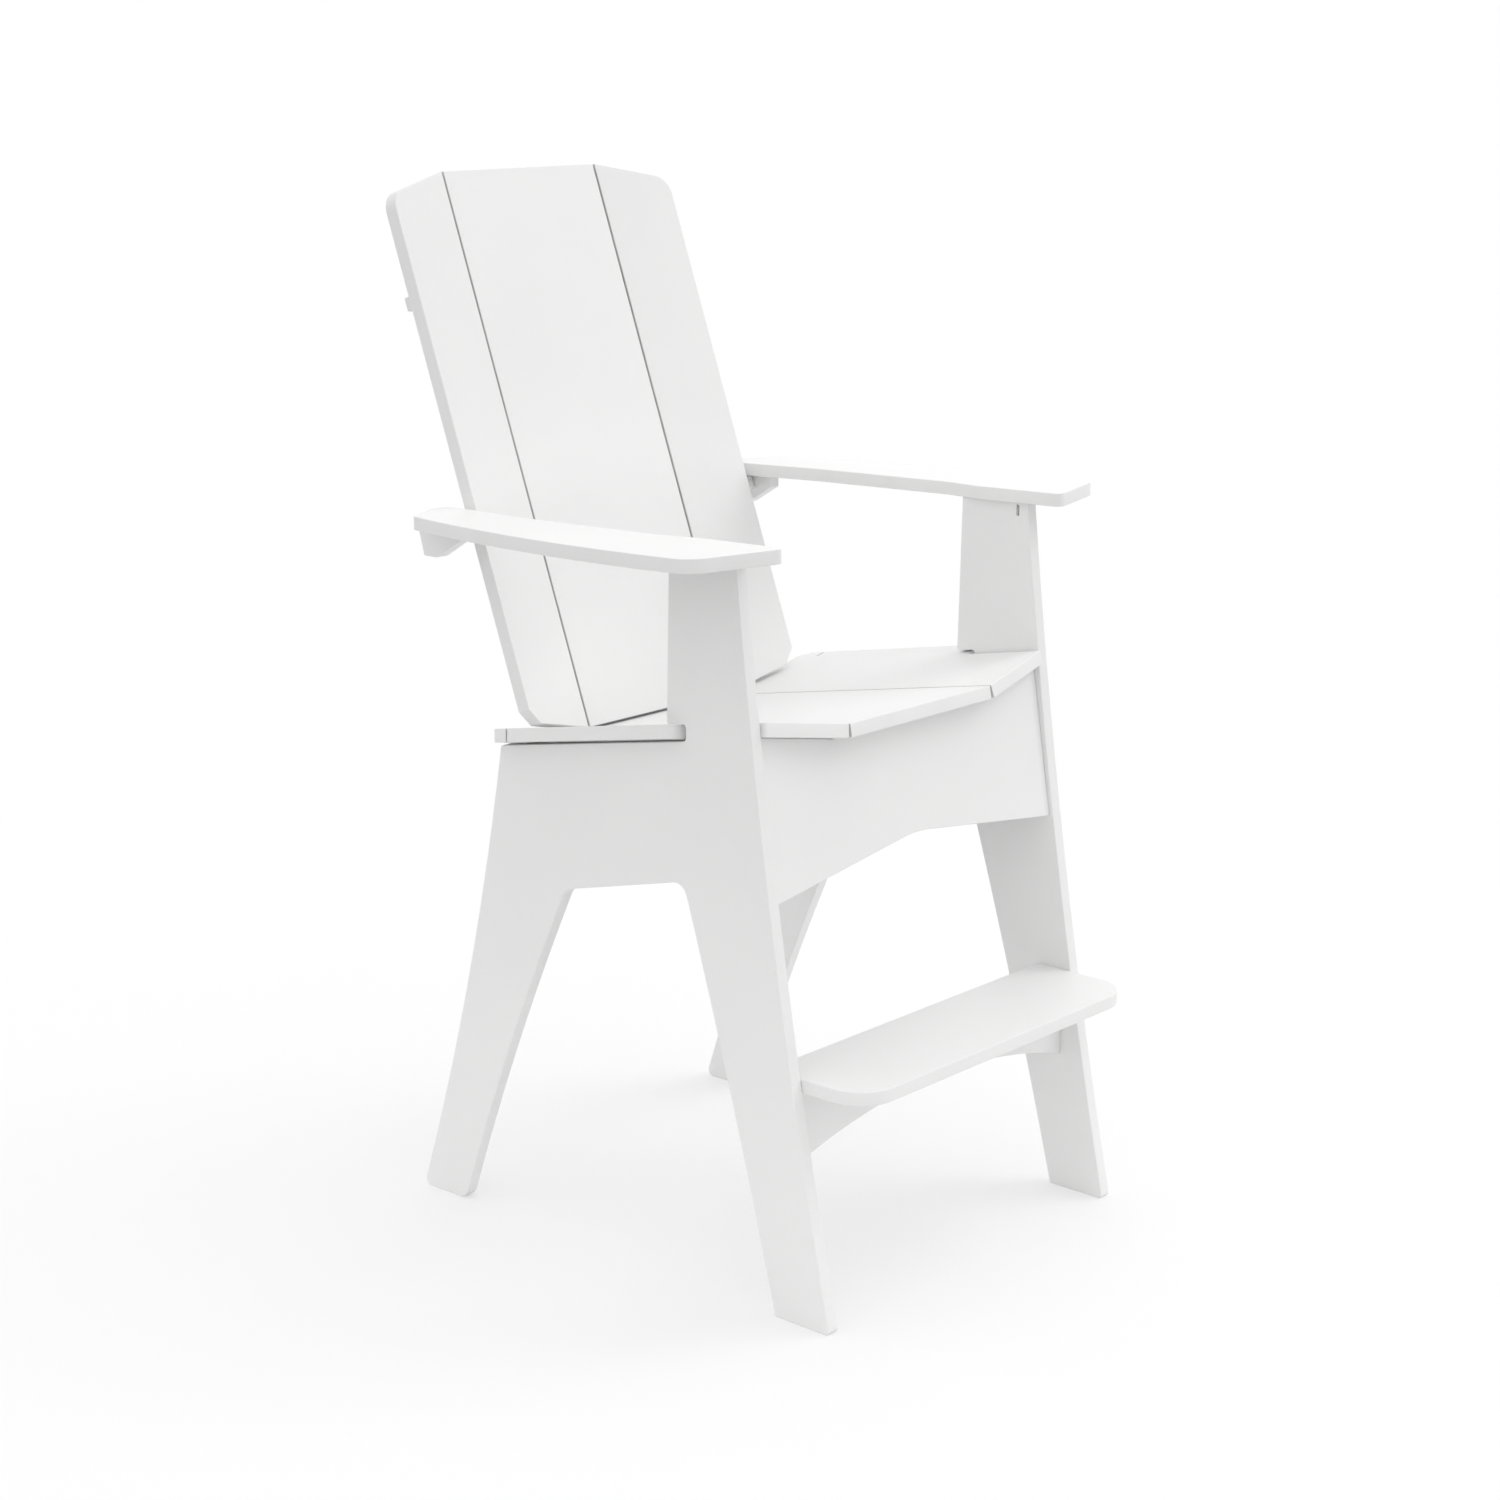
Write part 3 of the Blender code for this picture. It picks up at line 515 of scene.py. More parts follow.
class NodeSheet:
    """Adds shader nodes to one material or world and links them."""

    def __init__(self, tree: bpy.types.NodeTree) -> None:
        """Start on an emptied node tree."""
        tree.nodes.clear()
        self.tree = tree

    @classmethod
    def of_material(cls, name: str) -> tuple[bpy.types.Material, "NodeSheet"]:
        """Start on a new material.

        Args:
            name: The material's name.

        Returns:
            The material and its sheet.
        """
        material = bpy.data.materials.new(name)
        material.use_nodes = True
        return material, cls(material.node_tree)

    def add(self, kind: str, **settings: object) -> bpy.types.Node:
        """Add a node.

        Args:
            kind: Blender's node type.
            settings: Properties of the node to set.

        Returns:
            The node.
        """
        node = self.tree.nodes.new(kind)
        for key, value in settings.items():
            setattr(node, key, value)
        return node

    def link(self, source: bpy.types.NodeSocket, target: bpy.types.NodeSocket) -> None:
        """Link two sockets."""
        self.tree.links.new(source, target)

    def noise(
        self, vector: bpy.types.NodeSocket, scale: float, detail: float, roughness: float = 0.5
    ) -> bpy.types.NodeSocket:
        """Noise of one scale.

        Args:
            vector: Coordinates in metres.
            scale: Features per metre.
            detail: Octaves.
            roughness: Weight of the finer octaves.

        Returns:
            The noise's value, from 0 to 1.
        """
        node = self.add("ShaderNodeTexNoise")
        node.inputs["Scale"].default_value = scale
        node.inputs["Detail"].default_value = detail
        node.inputs["Roughness"].default_value = roughness
        self.link(vector, node.inputs["Vector"])
        return node.outputs["Fac"]

    def remap(
        self, value: bpy.types.NodeSocket, source: tuple[float, float], target: tuple[float, float]
    ) -> bpy.types.NodeSocket:
        """A value moved from one range to another, clamped.

        Args:
            value: Value to move.
            source: Range that it comes from.
            target: Range that it goes to.

        Returns:
            The moved value.
        """
        node = self.add("ShaderNodeMapRange")
        for key, number in zip(("From Min", "From Max", "To Min", "To Max"), source + target):
            node.inputs[key].default_value = number
        self.link(value, node.inputs["Value"])
        return node.outputs["Result"]

    def maths(
        self, operation: str, first: bpy.types.NodeSocket, second: bpy.types.NodeSocket | float
    ) -> bpy.types.NodeSocket:
        """Two values put together.

        Args:
            operation: Blender's name of the operation.
            first: First value.
            second: Second value or number.

        Returns:
            The result.
        """
        node = self.add("ShaderNodeMath", operation=operation)
        self.link(first, node.inputs[0])
        if isinstance(second, (int, float)):
            node.inputs[1].default_value = second
        else:
            self.link(second, node.inputs[1])
        return node.outputs[0]

    def blend(
        self, first: tuple[bpy.types.NodeSocket, float], second: tuple[bpy.types.NodeSocket, float]
    ) -> bpy.types.NodeSocket:
        """Two values added up by their shares.

        Args:
            first: First value and its share.
            second: Second value and its share.

        Returns:
            The sum.
        """
        return self.maths("ADD", self.maths("MULTIPLY", *first), self.maths("MULTIPLY", *second))

    def tones(
        self, value: bpy.types.NodeSocket, stops: Sequence[tuple[float, tuple[float, float, float]]]
    ) -> bpy.types.NodeSocket:
        """A colour that follows a value.

        Args:
            value: Value from 0 to 1.
            stops: Positions and their colours.

        Returns:
            The colour.
        """
        node = self.add("ShaderNodeValToRGB")
        ramp = node.color_ramp
        ramp.elements[0].position, ramp.elements[1].position = stops[0][0], stops[-1][0]
        ramp.elements[0].color = (*stops[0][1], 1.0)
        ramp.elements[1].color = (*stops[-1][1], 1.0)
        for position, colour in stops[1:-1]:
            ramp.elements.new(position).color = (*colour, 1.0)
        self.link(value, node.inputs["Fac"])
        return node.outputs["Color"]

    def bump(
        self, height: bpy.types.NodeSocket, strength: float, distance: float
    ) -> bpy.types.NodeSocket:
        """A normal raised by a height.

        Args:
            height: Height from 0 to 1.
            strength: Share of the effect.
            distance: Height in metres at 1.

        Returns:
            The normal.
        """
        node = self.add("ShaderNodeBump")
        node.inputs["Strength"].default_value = strength
        node.inputs["Distance"].default_value = distance
        self.link(height, node.inputs["Height"])
        return node.outputs["Normal"]

    def wave(self, cycles: bpy.types.NodeSocket) -> bpy.types.NodeSocket:
        """The sine of a number of cycles, from -1 to 1."""
        return self.maths("SINE", self.maths("MULTIPLY", cycles, 2 * math.pi), 0.0)

    def mixed(
        self,
        share: bpy.types.NodeSocket,
        first: bpy.types.NodeSocket,
        second: bpy.types.NodeSocket,
    ) -> bpy.types.NodeSocket:
        """One surface that turns into another.

        Args:
            share: Share of the second surface, from 0 to 1.
            first: First surface.
            second: Second surface.

        Returns:
            The mixed surface.
        """
        node = self.add("ShaderNodeMixShader")
        for socket, target in zip((share, first, second), node.inputs):
            self.link(socket, target)
        return node.outputs["Shader"]

    def close(self, surface: bpy.types.NodeSocket, kind: str = "ShaderNodeOutputMaterial") -> None:
        """Link a surface to the output of a material or a world."""
        self.link(surface, self.add(kind).inputs["Surface"])

    def coat(
        self,
        colour: bpy.types.NodeSocket,
        rough: bpy.types.NodeSocket,
        normal: bpy.types.NodeSocket,
        values: dict[str, float],
    ) -> None:
        """Close a material with one principled surface.

        Args:
            colour: Base colour.
            rough: Roughness.
            normal: Normal.
            values: Numbers of other inputs, by Blender's names.
        """
        shader = self.add("ShaderNodeBsdfPrincipled")
        for key, number in values.items():
            shader.inputs[key].default_value = number
        for key, socket in (("Base Color", colour), ("Roughness", rough), ("Normal", normal)):
            self.link(socket, shader.inputs[key])
        self.close(shader.outputs["BSDF"])


@dataclass(frozen=True)
class SheetFace:
    """The skin of the white sheet: a fine moulded pebble, faint clouding and hairline scuffs.

    A scale counts features in a metre, a share weighs one layer against another, and a span is the
    part of a noise's range that is used.
    """

    white: tuple[float, float, float] = (0.832, 0.832, 0.829)
    clouded: tuple[float, float, float] = (0.812, 0.813, 0.810)
    roughness: tuple[float, float] = (0.40, 0.52)
    rough_span: tuple[float, float] = (0.2, 0.8)
    cloud_scale: float = 5.0
    cloud_share: float = 0.75
    speck_scale: float = 240.0
    tone_span: tuple[float, float] = (0.32, 0.62)
    scuff_scales: tuple[float, float, float] = (30.0, 420.0, 420.0)
    scuff_turn: tuple[float, float, float] = (0.3, 0.5, 0.9)
    scuff_span: tuple[float, float] = (0.62, 0.72)
    scuff_share: float = 0.3
    scuff_depth: float = 0.25
    pebble_scale: float = 620.0
    pebble_grit: float = 0.6
    pebble_height: float = 0.00006
    relief: float = 0.35
    refraction: float = 1.5
    specular: float = 0.45

    def material(self) -> bpy.types.Material:
        """The finish on Object coordinates.

        Returns:
            The material.
        """
        material, sheet = NodeSheet.of_material("white_sheet_face")
        where = sheet.add("ShaderNodeTexCoord").outputs["Object"]
        cloud = sheet.noise(where, self.cloud_scale, detail=3.0)
        speck = sheet.noise(where, self.speck_scale, detail=2.0)
        shade = sheet.blend((cloud, self.cloud_share), (speck, 1 - self.cloud_share))
        stretch = sheet.add("ShaderNodeMapping")
        stretch.inputs["Scale"].default_value = self.scuff_scales
        stretch.inputs["Rotation"].default_value = self.scuff_turn
        sheet.link(where, stretch.inputs["Vector"])
        scuff = sheet.noise(stretch.outputs["Vector"], 1.0, detail=2.0)
        scuff = sheet.remap(scuff, self.scuff_span, (0.0, 1.0))
        pebble = sheet.noise(where, self.pebble_scale, detail=2.0, roughness=self.pebble_grit)
        rough = sheet.blend((pebble, 1 - self.scuff_share), (scuff, self.scuff_share))
        height = sheet.blend((pebble, 1.0), (scuff, -self.scuff_depth))
        sheet.coat(
            sheet.tones(shade, tuple(zip(self.tone_span, (self.clouded, self.white)))),
            sheet.remap(rough, self.rough_span, self.roughness),
            sheet.bump(height, self.relief, self.pebble_height),
            {"IOR": self.refraction, "Specular IOR Level": self.specular},
        )
        return material


@dataclass(frozen=True)
class SheetCut:
    """A routed edge of the sheet: fine lines along the cut and weaker feed marks across it."""

    name: str = "white_sheet_cut_edge"
    fresh: tuple[float, float, float] = (0.830, 0.830, 0.827)
    shaded: tuple[float, float, float] = (0.806, 0.806, 0.803)
    roughness: tuple[float, float] = (0.42, 0.58)
    waver_scale: float = 90.0
    line_pitch: float = 0.0007
    line_waver: float = 2.2
    line_share: float = 0.32
    feed_pitch: float = 0.0021
    feed_waver: float = 0.9
    feed_share: float = 0.10
    cloud_scale: float = 12.0
    cloud_share: float = 0.8
    tone_span: tuple[float, float] = (0.3, 0.65)
    mark_height: float = 0.00005
    relief: float = 0.3
    refraction: float = 1.5
    specular: float = 0.4

    def material(self) -> bpy.types.Material:
        """The finish on the boards' UV map, in metres along and through the cut.

        Returns:
            The material.
        """
        material, sheet = NodeSheet.of_material(self.name)
        coords = sheet.add("ShaderNodeTexCoord")
        edge = sheet.add("ShaderNodeSeparateXYZ")
        sheet.link(coords.outputs["UV"], edge.inputs["Vector"])
        waver = sheet.noise(coords.outputs["Object"], self.waver_scale, detail=2.0)
        through = sheet.maths("DIVIDE", edge.outputs["Y"], self.line_pitch)
        line = sheet.wave(sheet.blend((through, 1.0), (waver, self.line_waver)))
        along = sheet.maths("DIVIDE", edge.outputs["X"], self.feed_pitch)
        feed = sheet.wave(sheet.blend((along, 1.0), (waver, self.feed_waver)))
        marks = sheet.blend((line, self.line_share), (feed, self.feed_share))
        marks = sheet.maths("ADD", marks, 0.5)
        cloud = sheet.noise(coords.outputs["Object"], self.cloud_scale, detail=3.0)
        tone = sheet.blend((cloud, self.cloud_share), (marks, 1 - self.cloud_share))
        sheet.coat(
            sheet.tones(tone, tuple(zip(self.tone_span, (self.shaded, self.fresh)))),
            sheet.remap(marks, (0.0, 1.0), self.roughness),
            sheet.bump(marks, self.relief, self.mark_height),
            {"IOR": self.refraction, "Specular IOR Level": self.specular},
        )
        return material


@dataclass(frozen=True)
class ScrewSteel:
    """Plain stainless steel, with turning lines round the axis and faint clouding."""

    bright: tuple[float, float, float] = (0.66, 0.66, 0.65)
    dull: tuple[float, float, float] = (0.50, 0.50, 0.49)
    roughness: tuple[float, float] = (0.22, 0.40)
    rough_span: tuple[float, float] = (0.1, 0.9)
    cloud_scale: float = 420.0
    tone_span: tuple[float, float] = (0.3, 0.7)
    line_pitch: float = 0.00025
    line_height: float = 0.00002
    relief: float = 0.25

    def material(self) -> bpy.types.Material:
        """The finish on the screws' UV map.

        Returns:
            The material.
        """
        material, sheet = NodeSheet.of_material("screw_steel")
        coords = sheet.add("ShaderNodeTexCoord")
        turned = sheet.add("ShaderNodeSeparateXYZ")
        sheet.link(coords.outputs["UV"], turned.inputs["Vector"])
        cloud = sheet.noise(coords.outputs["Object"], self.cloud_scale, detail=3.0)
        lines = sheet.maths("DIVIDE", turned.outputs["Y"], self.line_pitch)
        lines = sheet.wave(sheet.maths("ADD", lines, cloud))
        lines = sheet.maths("ADD", sheet.maths("MULTIPLY", lines, 0.5), 0.5)
        rough = sheet.blend((lines, 0.5), (cloud, 0.5))
        sheet.coat(
            sheet.tones(cloud, tuple(zip(self.tone_span, (self.dull, self.bright)))),
            sheet.remap(rough, self.rough_span, self.roughness),
            sheet.bump(lines, self.relief, self.line_height),
            {"Metallic": 1.0},
        )
        return material


@dataclass
class Workshop:
    """Makes the pieces, dresses them and sets them in the frame."""

    stock: SheetStock
    to_row: np.ndarray
    face: SheetFace = field(default_factory=SheetFace)
    cut: SheetCut = field(default_factory=SheetCut)
    # A darker copy of the cut finish: painted shade in the narrow seams and kerfs.
    seam: SheetCut = SheetCut("dusty_seam_edge", (0.67, 0.67, 0.66), (0.60, 0.60, 0.59))
    steel: ScrewSteel = field(default_factory=ScrewSteel)
    pieces: dict[str, bpy.types.Object] = field(default_factory=dict)

    def __post_init__(self) -> None:
        """Make the finishes once."""
        self.sheet_finishes = [self.face.material(), self.cut.material()]
        self.seamed_finishes = [*self.sheet_finishes, self.seam.material()]
        self.screw_finishes = [self.steel.material()]

    def stand_in(self, node: str, mesh: bpy.types.Mesh, finishes: list[bpy.types.Material]) -> None:
        """Stand a mesh in for a node of the frame, with its finishes.

        Args:
            node: Node that the mesh stands for.
            mesh: Mesh in the chair's frame.
            finishes: Materials by number.
        """
        for material in finishes:
            mesh.materials.append(material)
        piece = placed(mesh, mesh.name)
        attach(piece, "root")
        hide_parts(node)
        self.pieces[node] = piece
        LOG.info("%s: %d faces", piece.name, len(mesh.polygons))

    def board(
        self,
        node: str,
        points: np.ndarray,
        placement: np.ndarray,
        seams: Sequence[float] = (),
        kerfs: Sequence[float] = (),
    ) -> None:
        """Make a board.

        Args:
            node: Node that it stands for.
            points: Outline in the middle plane of the sheet.
            placement: Matrix from that plane into the depth frame.
            seams: Places in x of the edges that face a neighbour, darkened with painted shade.
            kerfs: Places in y of the walls of a kerf, darkened with painted shade too.
        """
        surface = board_surface(points, self.stock)
        for axis, places in enumerate((seams, kerfs)):
            if places:
                surface = with_seams(surface, axis, places, self.stock.arris / 2)
        mesh = mesh_of(node + "_board", surface, self.to_row @ placement)
        self.stand_in(node, mesh, self.seamed_finishes if seams else self.sheet_finishes)

    def carve(self, node: str, cutter: bpy.types.Mesh) -> None:
        """Take a cutter's volume out of a board and keep the result.

        Args:
            node: Node that the board stands for.
            cutter: Closed mesh in the chair's frame.
        """
        piece = self.pieces[node]
        tool = placed(cutter, "cutter")
        hole = piece.modifiers.new("Hole", "BOOLEAN")
        hole.operation = "DIFFERENCE"
        hole.solver = "EXACT"
        hole.object = tool
        bpy.context.view_layer.update()
        graph = bpy.context.evaluated_depsgraph_get()
        carved = bpy.data.meshes.new_from_object(piece.evaluated_get(graph))
        piece.modifiers.remove(hole)
        bpy.data.objects.remove(tool)
        smooth(carved)
        name = piece.data.name
        piece.data.name = name + "_blank"
        piece.data = carved
        carved.name = name


@dataclass
class SidePanels:
    """The two side panels: front leg, rear leg, shoulder and arm post in one board each."""

    stock: SheetStock
    width_over: float = 0.635
    post_front: float = 0.163
    post_width: float = 0.116
    front_edge_hollow: float = 0.0145
    toe_round: float = 0.006
    front_foot_length: float = 0.094
    front_leg_hollow: float = 0.0045
    gap_front: float = 0.257
    gap_front_height: float = 0.5685
    gap_front_round: float = 0.020
    gap_rear: float = 0.478
    gap_rear_height: float = 0.514
    gap_rear_round: float = 0.026
    rear_foot_front: float = 0.695
    rear_foot_length: float = 0.089
    rear_foot_round: float = 0.020
    heel_round: float = 0.010
    rear_leg_hollow: float = 0.0085
    rear_edge_hollow: float = 0.0150
    shoulder_inset: float = 0.0042
    slot_reach: float = 0.0285
    slot_clearance: float = 0.0008
    slot_round: float = 0.007

    @property
    def outer(self) -> float:
        """X of the left panel's outer face."""
        return self.width_over / 2

    @property
    def inner(self) -> float:
        """X of the left panel's inner face."""
        return self.outer - self.stock.thickness

    @property
    def between(self) -> float:
        """Half length of a board that fits between the panels."""
        return self.inner - self.stock.gap

    @property
    def post_rear(self) -> float:
        """Depth of the post's rear edge under the arm."""
        return self.post_front + self.post_width

    @property
    def slot_end(self) -> float:
        """Depth of the slot's blind end at the post's foot."""
        return self.post_rear - self.slot_reach

    def points(self, seat: "Seat", arms: "Arms") -> np.ndarray:
        """The panel's outline in depth and height.

        Args:
            seat: Seat whose side plank the shoulder carries.
            arms: Arms that the post carries.

        Returns:
            Array of (n, 2) points.
        """
        gap, small = self.stock.gap, self.stock.small_round
        floor = seat.shoulder_height(self.slot_end)
        top = floor + gap + seat.side_height + self.slot_clearance
        post_top = arms.underside(self.post_rear) - gap
        fall, lean = math.tan(seat.slope), math.tan(arms.slope)
        mouth_fall = (self.post_rear - self.slot_end + (post_top - top) * lean) * fall
        mouth_top = top - mouth_fall / (1 - fall * lean)
        mouth = self.post_rear + (post_top - mouth_top) * lean
        shoulder = seat.rear - self.shoulder_inset
        return outline(
            [
                Corner(0, 0, self.toe_round),
                Corner(self.front_foot_length, 0, small, self.front_leg_hollow),
                Corner(self.gap_front, self.gap_front_height, self.gap_front_round),
                Corner(self.gap_rear, self.gap_rear_height, self.gap_rear_round, self.rear_leg_hollow),
                Corner(self.rear_foot_front, 0, self.rear_foot_round),
                Corner(
                    self.rear_foot_front + self.rear_foot_length,
                    0,
                    self.heel_round,
                    self.rear_edge_hollow,
                ),
                Corner(shoulder, seat.shoulder_height(shoulder), small),
                Corner(self.slot_end, floor, self.slot_round),
                Corner(self.slot_end, top, self.slot_round),
                Corner(mouth, mouth_top, small),
                Corner(self.post_rear, post_top),
                Corner(
                    self.post_front,
                    arms.underside(self.post_front) - gap,
                    0,
                    self.front_edge_hollow,
                ),
            ]
        )

    def build(self, shop: Workshop, seat: "Seat", arms: "Arms") -> None:
        """Make both panels.

        Args:
            shop: Workshop that makes them.
            seat: Seat that the shoulders carry.
            arms: Arms that the posts carry.
        """
        points = self.points(seat, arms)
        for place in FLANKS:
            middle = place.value * (self.inner + self.stock.half)
            shop.board(f"side_panel_{place.word}", points, shift(middle) @ UPRIGHT)


@dataclass
class Seat:
    """The three seat planks: a flat centre and two dished sides with ears past the posts."""

    stock: SheetStock
    panels: SidePanels
    front: float = 0.112
    height: float = 0.7764
    slope: float = math.radians(10.15)
    dish: float = math.radians(10.65)
    length: float = 0.500
    sweep: float = 0.0155
    seam: float = 0.152
    seam_gap: float = 0.003
    ear_overhang: float = 0.0185
    ear_rear_inset: float = 0.0368
    ear_front_round: float = 0.014
    ear_kerf: float = 0.003
    ear_block: float = 0.0208
    heel_overhang: float = 0.0025

    @property
    def run(self) -> float:
        """Level length of the seat."""
        return self.length * math.cos(self.slope)

    @property
    def rear(self) -> float:
        """Depth of the centre plank's rear end."""
        return self.front + self.run

    @property
    def side_height(self) -> float:
        """Upright height of a side plank, with its rise across a panel's thickness."""
        thick = self.stock.thickness
        rise = thick * math.tan(self.dish) / math.cos(self.slope)
        return thick / (math.cos(self.slope) * math.cos(self.dish)) + rise

    @property
    def ear(self) -> float:
        """Place across a side plank of its ear's outer edge."""
        return (self.panels.outer - self.seam + self.ear_overhang) / math.cos(self.dish)

    def top_at(self, depth: float) -> float:
        """Height of the centre plank's top at a depth."""
        return self.height - (depth - self.front) * math.tan(self.slope)

    def plank(self, place: Place) -> np.ndarray:
        """The matrix of a plank's middle plane.

        Args:
            place: Which plank.

        Returns:
            Matrix from that plane into the depth frame.
        """
        frame_matrix = shift(0, self.front, self.height) @ turn(Axis.X, -self.slope)
        hinge = shift(place.value * self.seam) @ turn(Axis.Y, -place.value * self.dish)
        return frame_matrix @ hinge @ shift(z=-self.stock.half)

    def up_to_underside(self, place: Place, frame_matrix: np.ndarray, x: float, z: float) -> float:
        """How far up a frame's y a plank's underside is.

        Args:
            place: Which plank.
            frame_matrix: Frame in the depth frame.
            x: Place across the frame.
            z: Place along the frame's z.

        Returns:
            The y at which the frame meets the underside.
        """
        to_plank = np.linalg.inv(self.plank(place)) @ frame_matrix
        low, high = moved(to_plank, np.array([[x, 0, z], [x, 1, z]]))[:, 2]
        return (-self.stock.half - low) / (high - low)

    def shoulder_height(self, depth: float) -> float:
        """Height at a depth that clears the side plank above the panel's inner face."""
        frame_matrix = shift(0, depth) @ turn(Axis.X, math.pi / 2)
        return self.up_to_underside(Place.LEFT, frame_matrix, self.panels.inner, 0) - self.stock.gap

    def along(self, depth: float, x: float, z: float) -> float:
        """How far along the left plank a depth is.

        Args:
            depth: The depth.
            x: Place across the plank.
            z: Place through the plank.

        Returns:
            The y in the plank's frame.
        """
        plank = self.plank(Place.LEFT)
        start = moved(plank, np.array([[x, 0, z]]))[0, 1]
        return (depth - start) / plank[1, 1]

    def kerf_walls(self) -> tuple[float, float]:
        """Places along a side plank of the two walls of the kerf behind its ear."""
        ear_rear = self.along(self.rear - self.ear_rear_inset, self.ear, self.stock.half)
        return ear_rear, ear_rear + self.ear_kerf

    def side_points(self) -> np.ndarray:
        """The left plank's outline, x outward from its seam and y rearward.

        A kerf parts the ear from a short block, which runs slantwise to the plank's heel.

        Returns:
            Array of (n, 2) points.
        """
        stock, panels = self.stock, self.panels
        cosine = math.cos(self.dish)
        lean = stock.thickness * math.sin(self.dish)
        inner = (panels.between - self.seam - lean) / cosine
        flush = (panels.outer - self.seam) / cosine
        heel = flush + self.heel_overhang / cosine
        mouth = panels.slot_end + panels.slot_round + stock.gap
        slot = self.along(mouth, inner, -stock.half)
        ear_rear, block = self.kerf_walls()
        ear, edge, small = self.ear, self.seam_gap / 2, stock.small_round
        return outline(
            [
                Corner(edge, 0),
                Corner(inner, self.sweep, small),
                Corner(inner, slot, small),
                Corner(ear, slot, self.ear_front_round),
                Corner(ear, ear_rear),
                Corner(flush, ear_rear),
                Corner(flush, block),
                Corner(ear, block),
                Corner(ear, block + self.ear_block, small),
                Corner(heel, self.length, small),
                Corner(edge, self.length),
            ]
        )

    def build(self, shop: Workshop) -> None:
        """Make the three planks.

        Args:
            shop: Workshop that makes them.
        """
        half, edge = self.seam - self.seam_gap / 2, self.seam_gap / 2
        middle = oblong(half, 0, self.length)
        shop.board("seat_plank_centre", middle, self.plank(Place.CENTRE), (-half, half))
        for place in FLANKS:
            points = flanked(self.side_points(), place)
            node = f"seat_plank_{place.word}"
            shop.board(node, points, self.plank(place), (-edge, edge), self.kerf_walls())


@dataclass
class Back:
    """The three back planks: a flat centre and two sides turned forward, with slanted tops."""

    stock: SheetStock
    panels: SidePanels
    chair_seat: Seat
    foot_inset: float = 0.0121
    foot_gap: float = 0.0043
    recline: float = math.radians(20.06)
    wing_turn: float = math.radians(11.0)
    length: float = 0.8161
    edge_inset: float = 0.0207
    top_fall: float = math.radians(15.2)
    top_round: float = 0.032
    foot_rise: float = math.radians(10.7)
    foot_cut: float = 0.019

    @property
    def foot(self) -> float:
        """Depth of the front face's foot."""
        return self.chair_seat.rear - self.foot_inset

    @property
    def foot_height(self) -> float:
        """Height of the front face's foot."""
        return self.chair_seat.top_at(self.foot) + self.foot_gap

    @property
    def edge(self) -> float:
        """X of the left plank's outer edge on its front face."""
        return self.panels.inner - self.edge_inset

    @property
    def wing(self) -> float:
        """Width of a side plank from its seam."""
        return (self.edge - self.chair_seat.seam) / math.cos(self.wing_turn)

    @property
    def rear(self) -> float:
        """Depth of the centre plank's rearmost arris."""
        rise = (self.length - self.stock.arris) * math.sin(self.recline)
        return self.foot + rise + self.stock.thickness * math.cos(self.recline)

    @property
    def wing_clear(self) -> float:
        """How far behind the front plane a side plank's rear face and its gap are at its seam."""
        return (self.stock.thickness + self.stock.gap) / math.cos(self.wing_turn)

    @property
    def frame_matrix(self) -> np.ndarray:
        """Matrix of the front plane in the depth frame: x across, y up the back, z forward."""
        return shift(0, self.foot, self.foot_height) @ turn(Axis.X, math.pi / 2 - self.recline)

    def plank(self, place: Place) -> np.ndarray:
        """Matrix of a plank's middle plane in the back's frame."""
        hinge = shift(place.value * self.chair_seat.seam)
        return hinge @ turn(Axis.Y, -place.value * self.wing_turn) @ shift(z=-self.stock.half)

    def depth_at(self, height: float) -> float:
        """Depth of the front plane at a height."""
        return self.foot + (height - self.foot_height) * math.tan(self.recline)

    def wing_rear(self, x: float) -> float:
        """How far behind the front plane a side plank's rear face is at x."""
        return self.wing_clear - math.tan(self.wing_turn) * (x - self.chair_seat.seam)

    def wing_x(self, rear: float) -> float:
        """The x at which a side plank's rear face is that far behind the front plane."""
        return self.chair_seat.seam + (self.wing_clear - rear) / math.tan(self.wing_turn)

    def side_points(self) -> np.ndarray:
        """The left plank's outline, x outward from its seam and y up the back.

        Returns:
            Array of (n, 2) points.
        """
        edge, small = self.chair_seat.seam_gap / 2, self.stock.small_round
        cut, rise = self.wing - self.foot_cut, math.tan(self.foot_rise)
        top = self.length - self.wing * math.tan(self.top_fall)
        return outline(
            [
                Corner(edge, 0),
                Corner(cut, cut * rise, small),
                Corner(self.wing, self.wing * rise + self.foot_cut, small),
                Corner(self.wing, top, self.top_round),
                Corner(edge, self.length),
            ]
        )

    def build(self, shop: Workshop) -> None:
        """Make the three planks.

        Args:
            shop: Workshop that makes them.
        """
        edge = self.chair_seat.seam_gap / 2
        half = self.chair_seat.seam - edge
        centre = self.frame_matrix @ self.plank(Place.CENTRE)
        shop.board("back_plank_centre", oblong(half, 0, self.length), centre, (-half, half))
        for place in FLANKS:
            points = flanked(self.side_points(), place)
            placement = self.frame_matrix @ self.plank(place)
            shop.board(f"back_plank_{place.word}", points, placement, (-edge, edge))


